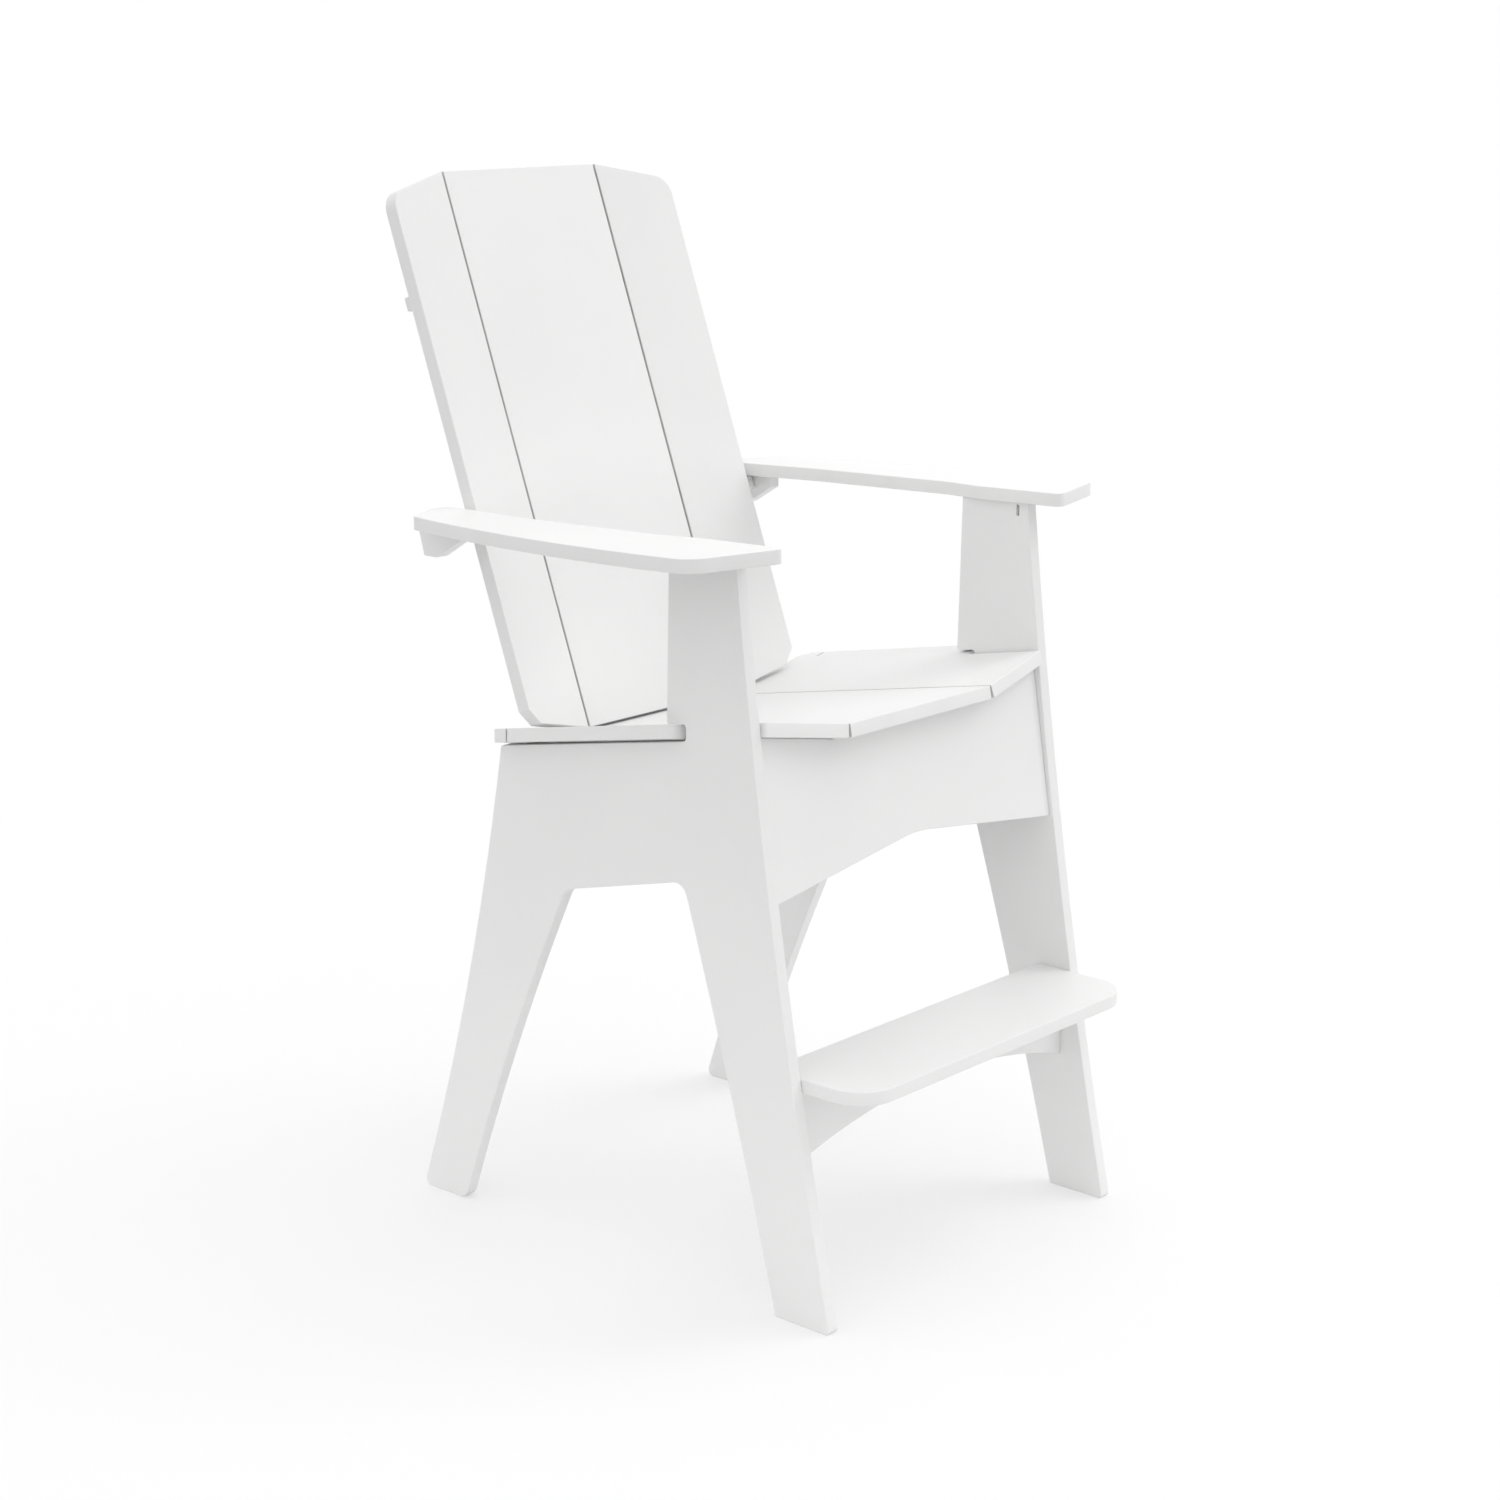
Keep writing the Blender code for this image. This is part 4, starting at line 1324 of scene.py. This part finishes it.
@dataclass
class Arms:
    """The two arms and the bracket under each arm's rear end."""

    stock: SheetStock
    panels: SidePanels
    height: float = 1.0305
    slope: float = math.radians(1.364)
    inner_lap: float = 0.0075
    waist_inset: float = 0.011
    front_overhang: float = 0.1116
    rear_overhang: float = 0.0625
    tail_overhang: float = 0.0075
    outer_bulge: float = 0.0215
    front_reach: float = 0.0628
    front_sweep: float = 0.040
    waist_start: float = 0.031
    waist_ease: float = 0.060
    waist_end: float = 0.148
    rear_reach: float = 0.0092
    tail_reach: float = 0.0223
    tail_slant: float = 0.002
    front_round: float = 0.039
    corner_round: float = 0.011
    tail_round: float = 0.018
    waist_round: float = 0.300
    bracket_lap: float = 0.0055
    bracket_front_reach: float = 0.0492
    bracket_knee_reach: float = 0.0022
    bracket_rear_reach: float = 0.0248
    bracket_rear_lean: float = 0.0125
    bracket_front_height: float = 0.0185
    bracket_height: float = 0.045
    bracket_round: float = 0.015

    @property
    def bracket_inner(self) -> float:
        """X of the left bracket's inner face."""
        return self.panels.outer - self.bracket_lap

    def underside(self, depth: float) -> float:
        """Height of the arms' underside at a depth."""
        drop = self.stock.thickness / math.cos(self.slope)
        return self.height - depth * math.tan(self.slope) - drop

    def back_depth(self, back: Back) -> float:
        """Depth of the back's front plane at the arms."""
        return back.depth_at(self.height - self.stock.thickness)

    def points(self, back: Back) -> np.ndarray:
        """The left arm's outline in x and depth.

        Args:
            back: Back that the arm's tail passes.

        Returns:
            Array of (n, 2) points.
        """
        panels, behind = self.panels, self.back_depth(back)
        inner = panels.inner - self.inner_lap
        waist = inner + self.waist_inset
        front = panels.post_front - self.front_reach
        waist_front = panels.post_rear + self.waist_start
        waist_rear = behind - self.waist_end
        tail = behind + self.tail_reach
        return outline(
            [
                Corner(inner, front, self.corner_round),
                Corner(
                    panels.outer + self.front_overhang,
                    front + self.front_sweep,
                    self.front_round,
                    -self.outer_bulge,
                ),
                Corner(panels.outer + self.rear_overhang, behind - self.rear_reach, self.corner_round),
                Corner(panels.outer + self.tail_overhang, tail - self.tail_slant, self.tail_round),
                Corner(inner, tail, self.tail_round),
                Corner(inner, waist_rear + 2 * self.waist_ease, self.waist_round),
                Corner(waist, waist_rear, self.waist_round),
                Corner(waist, waist_front, self.waist_round / 2),
                Corner(inner, waist_front - self.waist_ease, self.waist_round / 2),
            ]
        )

    def bracket_points(self, back: Back) -> np.ndarray:
        """A bracket's outline in depth and height.

        Args:
            back: Back beside which the bracket hangs.

        Returns:
            Array of (n, 2) points.
        """
        gap, small, behind = self.stock.gap, self.stock.small_round, self.back_depth(back)
        front = behind - self.bracket_front_reach
        front_top = self.underside(front) - gap
        rear = behind + self.bracket_rear_reach
        bottom = self.underside(rear) - self.bracket_height
        rear_top = rear + self.bracket_rear_lean
        return outline(
            [
                Corner(front, front_top - self.bracket_front_height, small),
                Corner(behind - self.bracket_knee_reach, bottom, self.bracket_round),
                Corner(rear, bottom, small),
                Corner(rear_top, self.underside(rear_top) - gap),
                Corner(front, front_top),
            ]
        )

    def build(self, shop: Workshop, back: Back) -> None:
        """Make both arms and both brackets.

        Args:
            shop: Workshop that makes them.
            back: Back that they reach.
        """
        level = shift(z=self.height) @ turn(Axis.X, -self.slope) @ shift(z=-self.stock.half)
        for place in FLANKS:
            shop.board(f"arm_{place.word}", flanked(self.points(back), place), level)
            middle = place.value * (self.bracket_inner + self.stock.half)
            points = self.bracket_points(back)
            shop.board(f"arm_bracket_{place.word}", points, shift(middle) @ UPRIGHT)


class Yoke(NamedTuple):
    """One yoke behind the back: its rise up the back, half length and depth at the ends."""

    rise: float
    end: float
    end_depth: float


@dataclass
class BackBracing:
    """The three yokes and the lower rail behind the back planks."""

    stock: SheetStock
    back: Back
    arms: Arms
    yoke_depth: float = 0.045
    yoke_steps: int = 44
    upper_rise: float = 0.6216
    upper_end_depth: float = 0.0125
    middle_drop: float = 0.0042
    middle_end_depth: float = 0.0407
    lower_rise: float = 0.0316
    lower_inset: float = 0.043
    lower_end_depth: float = 0.022
    rail_drop: float = 0.1134
    rail_step: float = 0.0584
    rail_inset: float = 0.098
    rail_round: float = 0.020

    @property
    def behind(self) -> float:
        """How far behind the front plane the centre plank's rear face and its gap are."""
        return self.stock.thickness + self.stock.gap

    def yokes(self) -> dict[str, Yoke]:
        """The yokes.

        Returns:
            The yokes by the first word of their names.
        """
        back, arms = self.back, self.arms
        top = arms.underside(arms.back_depth(back)) - self.middle_drop
        middle = (top - back.foot_height) / math.cos(back.recline) - self.stock.thickness
        return {
            "upper": Yoke(self.upper_rise, back.edge, self.upper_end_depth),
            "middle": Yoke(middle, arms.bracket_inner - self.stock.gap, self.middle_end_depth),
            "lower": Yoke(self.lower_rise, back.edge - self.lower_inset, self.lower_end_depth),
        }

    def end_front(self, yoke: Yoke) -> float:
        """How far behind the front plane a yoke's ends start."""
        return self.back.wing_rear(min(yoke.end, self.back.edge))

    def points(self, yoke: Yoke) -> np.ndarray:
        """A yoke's outline, x across and y rearward from the back's front plane.

        Args:
            yoke: Which yoke.

        Returns:
            Array of (n, 2) points. The front follows the planks and the rear is one arc.
        """
        small, end, edge = self.stock.small_round, yoke.end, self.back.edge
        knee = self.back.wing_x(self.behind)
        front = self.end_front(yoke)
        rear = front + yoke.end_depth
        bulge = self.behind + self.yoke_depth - rear
        right = [Corner(-end, front, small)]
        left = [Corner(end, front, small)]
        if end > edge + small:
            right.append(Corner(-edge, front))
            left.insert(0, Corner(edge, front))
        middle = [Corner(-knee, self.behind), Corner(knee, self.behind)]
        ends = [Corner(end, rear, small, -bulge), Corner(-end, rear, small)]
        return outline(right + middle + left + ends, arc_steps=self.yoke_steps)

    def rear_at(self, x: float, yoke: Yoke) -> float:
        """How far behind the front plane a yoke's rear arc is at x.

        Args:
            x: Distance from the middle.
            yoke: Which yoke.

        Returns:
            The distance.
        """
        rear = self.behind + self.yoke_depth
        bulge = rear - self.end_front(yoke) - yoke.end_depth
        radius = (yoke.end**2 + bulge**2) / (2 * bulge)
        return rear - radius + math.sqrt(radius**2 - x**2)

    def rail_points(self) -> np.ndarray:
        """The lower rail's outline, x across and y up the back.

        Returns:
            Array of (n, 2) points.
        """
        small, half = self.stock.small_round, self.back.panels.between
        top, neck = self.lower_rise - self.stock.gap, half - self.rail_inset
        return outline(
            [
                Corner(-half, -self.rail_drop),
                Corner(half, -self.rail_drop),
                Corner(half, -self.rail_step, small),
                Corner(neck, -self.rail_step, self.rail_round),
                Corner(neck, top),
                Corner(-neck, top),
                Corner(-neck, -self.rail_step, self.rail_round),
                Corner(-half, -self.rail_step, small),
            ]
        )

    def build(self, shop: Workshop) -> None:
        """Make the yokes and the rail.

        Args:
            shop: Workshop that makes them.
        """
        half = self.stock.half
        for word, yoke in self.yokes().items():
            square = shift(0, yoke.rise + half) @ turn(Axis.X, -math.pi / 2)
            placement = self.back.frame_matrix @ square
            shop.board(f"{word}_back_yoke", self.points(yoke), placement)
        placement = self.back.frame_matrix @ shift(z=-self.behind - half)
        shop.board("lower_back_rail", self.rail_points(), placement)


@dataclass
class SeatBracing:
    """The peaked apron and the rear rail under the seat planks."""

    stock: SheetStock
    chair_seat: Seat
    apron_setback: float = 0.0295
    apron_tilt: float = math.radians(9.0)
    apron_drop: float = 0.194
    apron_peak: float = 0.039
    apron_peak_round: float = 0.2
    peak_steps: int = 24
    rail_inset: float = 0.063
    rail_drop: float = 0.070

    def clear_top(self, place: Place, frame_matrix: np.ndarray, x: float) -> float:
        """The height that clears a plank over the board's thickness.

        Args:
            place: Which plank.
            frame_matrix: The board's front face: x across, y up, z forward.
            x: Place across the board.

        Returns:
            The y in that frame.
        """
        faces = (0.0, -self.stock.thickness)
        under = min(self.chair_seat.up_to_underside(place, frame_matrix, x, z) for z in faces)
        return under - self.stock.gap

    def points(self, frame_matrix: np.ndarray, drop: float, peak: float) -> np.ndarray:
        """A board whose top follows the undersides of the three planks.

        Its lower edge rises from both ends to a rounded peak in the middle, or is straight where
        there is no peak.

        Args:
            frame_matrix: The board's front face: x across, y up, z forward.
            drop: How far its ends reach down.
            peak: Height of the peak over the ends, or 0 for none.

        Returns:
            Array of (n, 2) points.
        """
        seam, half = self.chair_seat.seam, self.chair_seat.panels.between
        flat = self.clear_top(Place.CENTRE, frame_matrix, 0)
        inner = self.clear_top(Place.LEFT, frame_matrix, seam)
        outer = self.clear_top(Place.LEFT, frame_matrix, half)
        knee = seam + (flat - inner) * (half - seam) / (outer - inner)
        middle = [Corner(0, peak - drop, self.apron_peak_round)] if peak else []
        return outline(
            [
                Corner(-half, -drop),
                *middle,
                Corner(half, -drop),
                Corner(half, outer),
                Corner(knee, flat),
                Corner(-knee, flat),
                Corner(-half, outer),
            ],
            fillet_steps=self.peak_steps,
        )

    def build(self, shop: Workshop) -> None:
        """Make the apron and the rail.

        Args:
            shop: Workshop that makes them.
        """
        seat = self.chair_seat
        for node, setback, tilt, drop, peak in (
            ("front_apron", self.apron_setback, self.apron_tilt, self.apron_drop, self.apron_peak),
            ("rear_seat_rail", seat.run - self.rail_inset, seat.slope, self.rail_drop, 0.0),
        ):
            depth = seat.front + setback
            under = seat.top_at(depth) - self.stock.thickness / math.cos(seat.slope)
            frame_matrix = shift(0, depth, under) @ turn(Axis.X, math.pi / 2 - tilt)
            points = self.points(frame_matrix, drop, peak)
            shop.board(node, points, frame_matrix @ shift(z=-self.stock.half))


@dataclass
class Footrest:
    """The footrest board and the arched stretcher under it."""

    stock: SheetStock
    panels: SidePanels
    front: float = -0.041
    depth: float = 0.166
    height: float = 0.335
    corner_round: float = 0.055
    corner_steps: int = 22
    stretcher_setback: float = 0.123
    stretcher_height: float = 0.110
    stretcher_arch: float = 0.045
    arch_steps: int = 44

    def build(self, shop: Workshop) -> None:
        """Make the board and the stretcher.

        Args:
            shop: Workshop that makes them.
        """
        half, rear = self.panels.between, self.front + self.depth
        points = outline(
            [
                Corner(-half, self.front, self.corner_round),
                Corner(half, self.front, self.corner_round),
                Corner(half, rear),
                Corner(-half, rear),
            ],
            fillet_steps=self.corner_steps,
        )
        shop.board("footrest_board", points, shift(z=self.height - self.stock.half))
        points = outline(
            [
                Corner(-half, -self.stretcher_height, 0, self.stretcher_arch),
                Corner(half, -self.stretcher_height),
                Corner(half, 0),
                Corner(-half, 0),
            ],
            arc_steps=self.arch_steps,
        )
        top = self.height - self.stock.thickness - self.stock.gap
        face = shift(0, self.front + self.stretcher_setback, top) @ turn(Axis.X, math.pi / 2)
        shop.board("footrest_stretcher", points, face @ shift(z=-self.stock.half))


@dataclass(frozen=True)
class Gauge:
    """One size of screw: radii of shank, head and socket, and the room round the head."""

    shank: float
    head: float
    socket: float
    clearance: float

    @property
    def reach(self) -> float:
        """Radius of the hole that takes the head."""
        return self.head + self.clearance


@dataclass
class Screws:
    """The screws under the arms and behind the back, and their holes."""

    stock: SheetStock
    yoke_gauge: Gauge = Gauge(0.0025, 0.0045, 0.0016, 0.0015)
    post_gauge: Gauge = Gauge(0.0015, 0.0022, 0.0009, 0.0006)
    head_height: float = 0.003
    head_sink: float = 0.006
    socket_depth: float = 0.0018
    socket_ease: float = 0.0002
    crown: float = 0.0007
    crown_start: float = 0.15
    crown_rows: int = 7
    tip: float = 0.001
    bite: float = 0.012
    yoke_share: float = 0.5
    pocket_setback: float = 0.017
    pocket_top_wall: float = 0.003
    pocket_height: float = 0.016
    pocket_screw_inset: float = 0.004

    @property
    def head_bore(self) -> float:
        """How far a sunk head's hole runs outward from its seat, well past the yoke's rear."""
        return 4 * self.head_sink

    def screw_surface(self, gauge: Gauge, length: float) -> Surface:
        """A screw whose head bears on z = 0 and whose shank runs down.

        Its profile goes from the floor of a hexagonal socket up its wall, over a crown that is a
        quarter ellipse, down the head and along the shank to a chamfered tip.

        Args:
            gauge: Size of the screw.
            length: Length of the shank.

        Returns:
            The surface.
        """
        gap, ease, shank = self.stock.gap, self.socket_ease, gauge.shank
        brim = gap + self.head_height - self.crown
        start = math.asin(gauge.socket / gauge.head) + self.crown_start
        angle = np.linspace(start, math.pi / 2, self.crown_rows)
        crown = np.stack([gauge.head * np.sin(angle), brim + self.crown * np.cos(angle)], axis=1)
        rim = float(crown[0, 1])
        socket = [
            (gauge.socket, rim - self.socket_depth),
            (gauge.socket, rim - ease),
            (gauge.socket + ease, rim),
        ]
        body = [
            (gauge.head, gap),
            (shank, gap),
            (shank, self.tip - length),
            (shank - self.tip, -length),
        ]
        rows = np.concatenate([socket, crown, body])
        return turned_surface(rows, np.arange(len(rows)) < len(socket))

    def hole_mesh(
        self, gauge: Gauge, length: float, head_bore: float, placement: np.ndarray
    ) -> bpy.types.Mesh:
        """The cutter of a screw's hole.

        Args:
            gauge: Size of the screw.
            length: Length of the shank.
            head_bore: How far the head's hole runs outward from its seat, or 0 for none.
            placement: Matrix of the seat in the chair's frame.

        Returns:
            A closed mesh.
        """
        gap, bore, wide = self.stock.gap, gauge.shank + self.stock.gap, gauge.reach
        upper = [(wide, head_bore), (wide, 0.0), (bore, 0.0)] if head_bore else [(bore, gap)]
        rows = np.array(upper + [(bore, -length - gap)])
        return mesh_of("hole", turned_surface(rows, np.zeros(len(rows), dtype=bool)), placement)

    def drive(
        self,
        shop: Workshop,
        node: str,
        gauge: Gauge,
        placement: np.ndarray,
        length: float,
        boards: Sequence[str],
        head_bore: float,
    ) -> None:
        """Make a screw and cut its hole in the boards.

        Args:
            shop: Workshop that makes it.
            node: Node that it stands for.
            gauge: Size of the screw.
            placement: Matrix of the head's seat in the depth frame, -Z into the boards.
            length: Length of the shank.
            boards: Nodes whose boards it passes.
            head_bore: How far the head's hole runs outward from its seat, or 0 for none.
        """
        placement = shop.to_row @ placement
        for board in boards:
            shop.carve(board, self.hole_mesh(gauge, length, head_bore, placement))
        mesh = mesh_of(node + "_steel", self.screw_surface(gauge, length), placement)
        shop.stand_in(node, mesh, shop.screw_finishes)

    def build_posts(self, shop: Workshop, panels: SidePanels, arms: Arms) -> None:
        """Cut a pocket in each post's inner face and drive a screw from it up into the arm.

        Args:
            shop: Workshop that makes them.
            panels: Side panels that hold the posts.
            arms: Arms that the screws hold.
        """
        depth = panels.post_front + self.pocket_setback
        top = arms.underside(depth) - self.stock.gap - self.pocket_top_wall
        reach = self.post_gauge.reach
        pocket = oblong(self.pocket_screw_inset + reach, -reach, reach)
        rows = np.array([self.pocket_height / 2, -self.pocket_height / 2])
        for place in FLANKS:
            node, middle = f"side_panel_{place.word}", shift(0, depth, top - self.pocket_height / 2)
            centre = shop.to_row @ shift(place.value * panels.inner) @ middle
            shop.carve(node, box_mesh("pocket", pocket, rows, centre))
            spot = shift(place.value * (panels.inner + self.pocket_screw_inset), depth, top)
            upward = spot @ turn(Axis.X, math.pi)
            length = self.pocket_top_wall + self.bite
            boards = (node, f"arm_{place.word}")
            screw = f"post_screw_{place.word}"
            self.drive(shop, screw, self.post_gauge, upward, length, boards, 0.0)

    def build_yokes(self, shop: Workshop, bracing: BackBracing) -> None:
        """Drive screws from the rear through each yoke into the three planks, with sunk heads.

        Args:
            shop: Workshop that makes them.
            bracing: Bracing that holds the yokes.
        """
        back, half = bracing.back, self.stock.half
        for word, yoke in bracing.yokes().items():
            for place in Place:
                out = place.value * self.yoke_share * back.wing
                axis = back.plank(place) @ shift(out, yoke.rise + half)
                x = abs(moved(axis, np.array([[0, 0, -half]]))[0, 0])
                plank_rear = bracing.behind if place is Place.CENTRE else back.wing_rear(x)
                run = bracing.rear_at(x, yoke) - self.head_sink - plank_rear
                through = run * math.cos(place.value * back.wing_turn)
                seat = shift(z=-half - self.stock.gap - through) @ turn(Axis.X, math.pi)
                boards = (f"{word}_back_yoke", f"back_plank_{place.word}")
                self.drive(
                    shop,
                    f"{word}_yoke_screw_{place.word}",
                    self.yoke_gauge,
                    back.frame_matrix @ axis @ seat,
                    through + self.bite,
                    boards,
                    self.head_bore,
                )


@dataclass
class Studio:
    """The floor, the light and the camera."""

    eye: tuple[float, float, float] = (-2.9993, -2.2561, 1.6635)
    tilt: float = math.radians(90 - 13.998)
    heading: float = math.radians(-48.236)
    lens: float = 69.85
    sensor: float = 36.0
    floor_radius: float = 3.5
    floor_sides: int = 128
    floor_white: float = 0.86
    grain: float = 0.004
    grain_scale: float = 2.0
    grain_span: tuple[float, float] = (0.3, 0.7)
    fade_from: float = 0.5
    fade_to: float = 2.6
    fade_start: float = 0.4
    dome_top: float = 1.24
    dome_rim: float = 0.86
    horizon: tuple[float, float] = (0.495, 0.505)
    lamp_spot: tuple[float, float, float] = (2.88, -1.96, 3.62)
    lamp_aim: tuple[float, float, float] = (0.0, 0.2, 1.1)
    lamp_size: float = 2.5
    lamp_power: float = 37.0

    def build_camera(self, middle: float) -> None:
        """Set the camera at the photograph's angle.

        Args:
            middle: Depth of the chair's middle, where Y is 0.
        """
        lens = bpy.data.cameras.new("camera")
        lens.lens = self.lens
        lens.sensor_width = self.sensor
        camera = placed(lens, "camera")
        camera.location = (self.eye[0], self.eye[1] - middle, self.eye[2])
        camera.rotation_euler = (self.tilt, 0.0, self.heading)
        bpy.context.scene.camera = camera

    @staticmethod
    def seen(sheet: NodeSheet) -> bpy.types.NodeSocket:
        """One for rays from the camera, a mirror or a glass, which see the white background.

        Args:
            sheet: Nodes of the material or the world.

        Returns:
            The socket that holds it.
        """
        path = sheet.add("ShaderNodeLightPath").outputs
        mirrored_too = sheet.maths("MAXIMUM", path["Is Camera Ray"], path["Is Glossy Ray"])
        return sheet.maths("MAXIMUM", mirrored_too, path["Is Transmission Ray"])

    def build_floor(self) -> None:
        """Lay a round pale floor that fades into the white background well away from the chair.

        Its points are a radius turned round Z.
        """
        angle = np.linspace(0, 2 * math.pi, self.floor_sides, endpoint=False)
        ring = np.stack([np.cos(angle), np.sin(angle), np.zeros_like(angle)], axis=1)
        mesh = bpy.data.meshes.new("floor")
        mesh.from_pydata((ring * self.floor_radius).tolist(), [], [list(range(self.floor_sides))])
        material, sheet = NodeSheet.of_material("pale_floor")
        where = sheet.add("ShaderNodeTexCoord").outputs["Object"]
        shades = [(self.floor_white + change,) * 3 for change in (-self.grain, self.grain)]
        pale = sheet.add("ShaderNodeBsdfDiffuse")
        grain = sheet.noise(where, self.grain_scale, detail=2.0)
        sheet.link(sheet.tones(grain, tuple(zip(self.grain_span, shades))), pale.inputs["Color"])
        away = sheet.add("ShaderNodeVectorMath", operation="LENGTH")
        sheet.link(where, away.inputs[0])
        fade = sheet.remap(away.outputs["Value"], (self.fade_from, self.fade_to), (self.fade_start, 1.0))
        share = sheet.maths("MULTIPLY", fade, self.seen(sheet))
        glow = sheet.add("ShaderNodeEmission").outputs["Emission"]
        sheet.close(sheet.mixed(share, pale.outputs["BSDF"], glow))
        mesh.materials.append(material)
        floor = placed(mesh, "floor")

    def build_dome(self) -> None:
        """Light the chair from a soft dome above the horizon, with white behind it."""
        world = bpy.data.worlds.new("studio")
        world.use_nodes = True
        sheet = NodeSheet(world.node_tree)
        way = sheet.add("ShaderNodeSeparateXYZ")
        sheet.link(sheet.add("ShaderNodeTexCoord").outputs["Generated"], way.inputs["Vector"])
        up = sheet.remap(way.outputs["Z"], (-1.0, 1.0), (0.0, 1.0))
        dark, rim, top = ((level,) * 3 for level in (0.0, self.dome_rim, self.dome_top))
        below, above = self.horizon
        dome = sheet.add("ShaderNodeBackground")
        sheet.link(sheet.tones(up, ((below, dark), (above, rim), (1.0, top))), dome.inputs["Color"])
        white = sheet.add("ShaderNodeBackground")
        white.inputs["Color"].default_value = (1.0, 1.0, 1.0, 1.0)
        mix = sheet.mixed(self.seen(sheet), dome.outputs["Background"], white.outputs["Background"])
        sheet.close(mix, "ShaderNodeOutputWorld")
        bpy.context.scene.world = world

    def build_lamp(self) -> None:
        """Hang one broad round lamp above the far front corner."""
        light = bpy.data.lights.new("high_lamp", "AREA")
        light.shape = "DISK"
        light.size = self.lamp_size
        light.energy = self.lamp_power
        lamp = placed(light, "high_lamp")
        lamp.location = self.lamp_spot
        aim = Vector(self.lamp_aim) - Vector(self.lamp_spot)
        lamp.rotation_euler = aim.to_track_quat("-Z", "Y").to_euler()

    def build(self, middle: float) -> None:
        """Set up the floor, the light, the camera and the plain view transform.

        Args:
            middle: Depth of the chair's middle, where Y is 0.
        """
        bpy.context.scene.view_settings.view_transform = "Standard"
        self.build_floor()
        self.build_dome()
        self.build_lamp()
        self.build_camera(middle)


def main() -> None:
    """Build the chair's pieces in order, then the studio."""
    logging.basicConfig(level=logging.INFO, format="%(name)s: %(message)s")
    stock = SheetStock()
    panels = SidePanels(stock)
    seat = Seat(stock, panels)
    back = Back(stock, panels, seat)
    arms = Arms(stock, panels)
    bracing = BackBracing(stock, back, arms)
    footrest = Footrest(stock, panels)
    screws = Screws(stock)
    middle = (footrest.front + back.rear) / 2
    shop = Workshop(stock, shift(0, -middle))
    panels.build(shop, seat, arms)
    seat.build(shop)
    back.build(shop)
    arms.build(shop, back)
    bracing.build(shop)
    SeatBracing(stock, seat).build(shop)
    footrest.build(shop)
    screws.build_posts(shop, panels, arms)
    screws.build_yokes(shop, bracing)
    Studio().build(middle)
    LOG.info("%d pieces in all", len(shop.pieces))


if __name__ == "__main__":
    main()
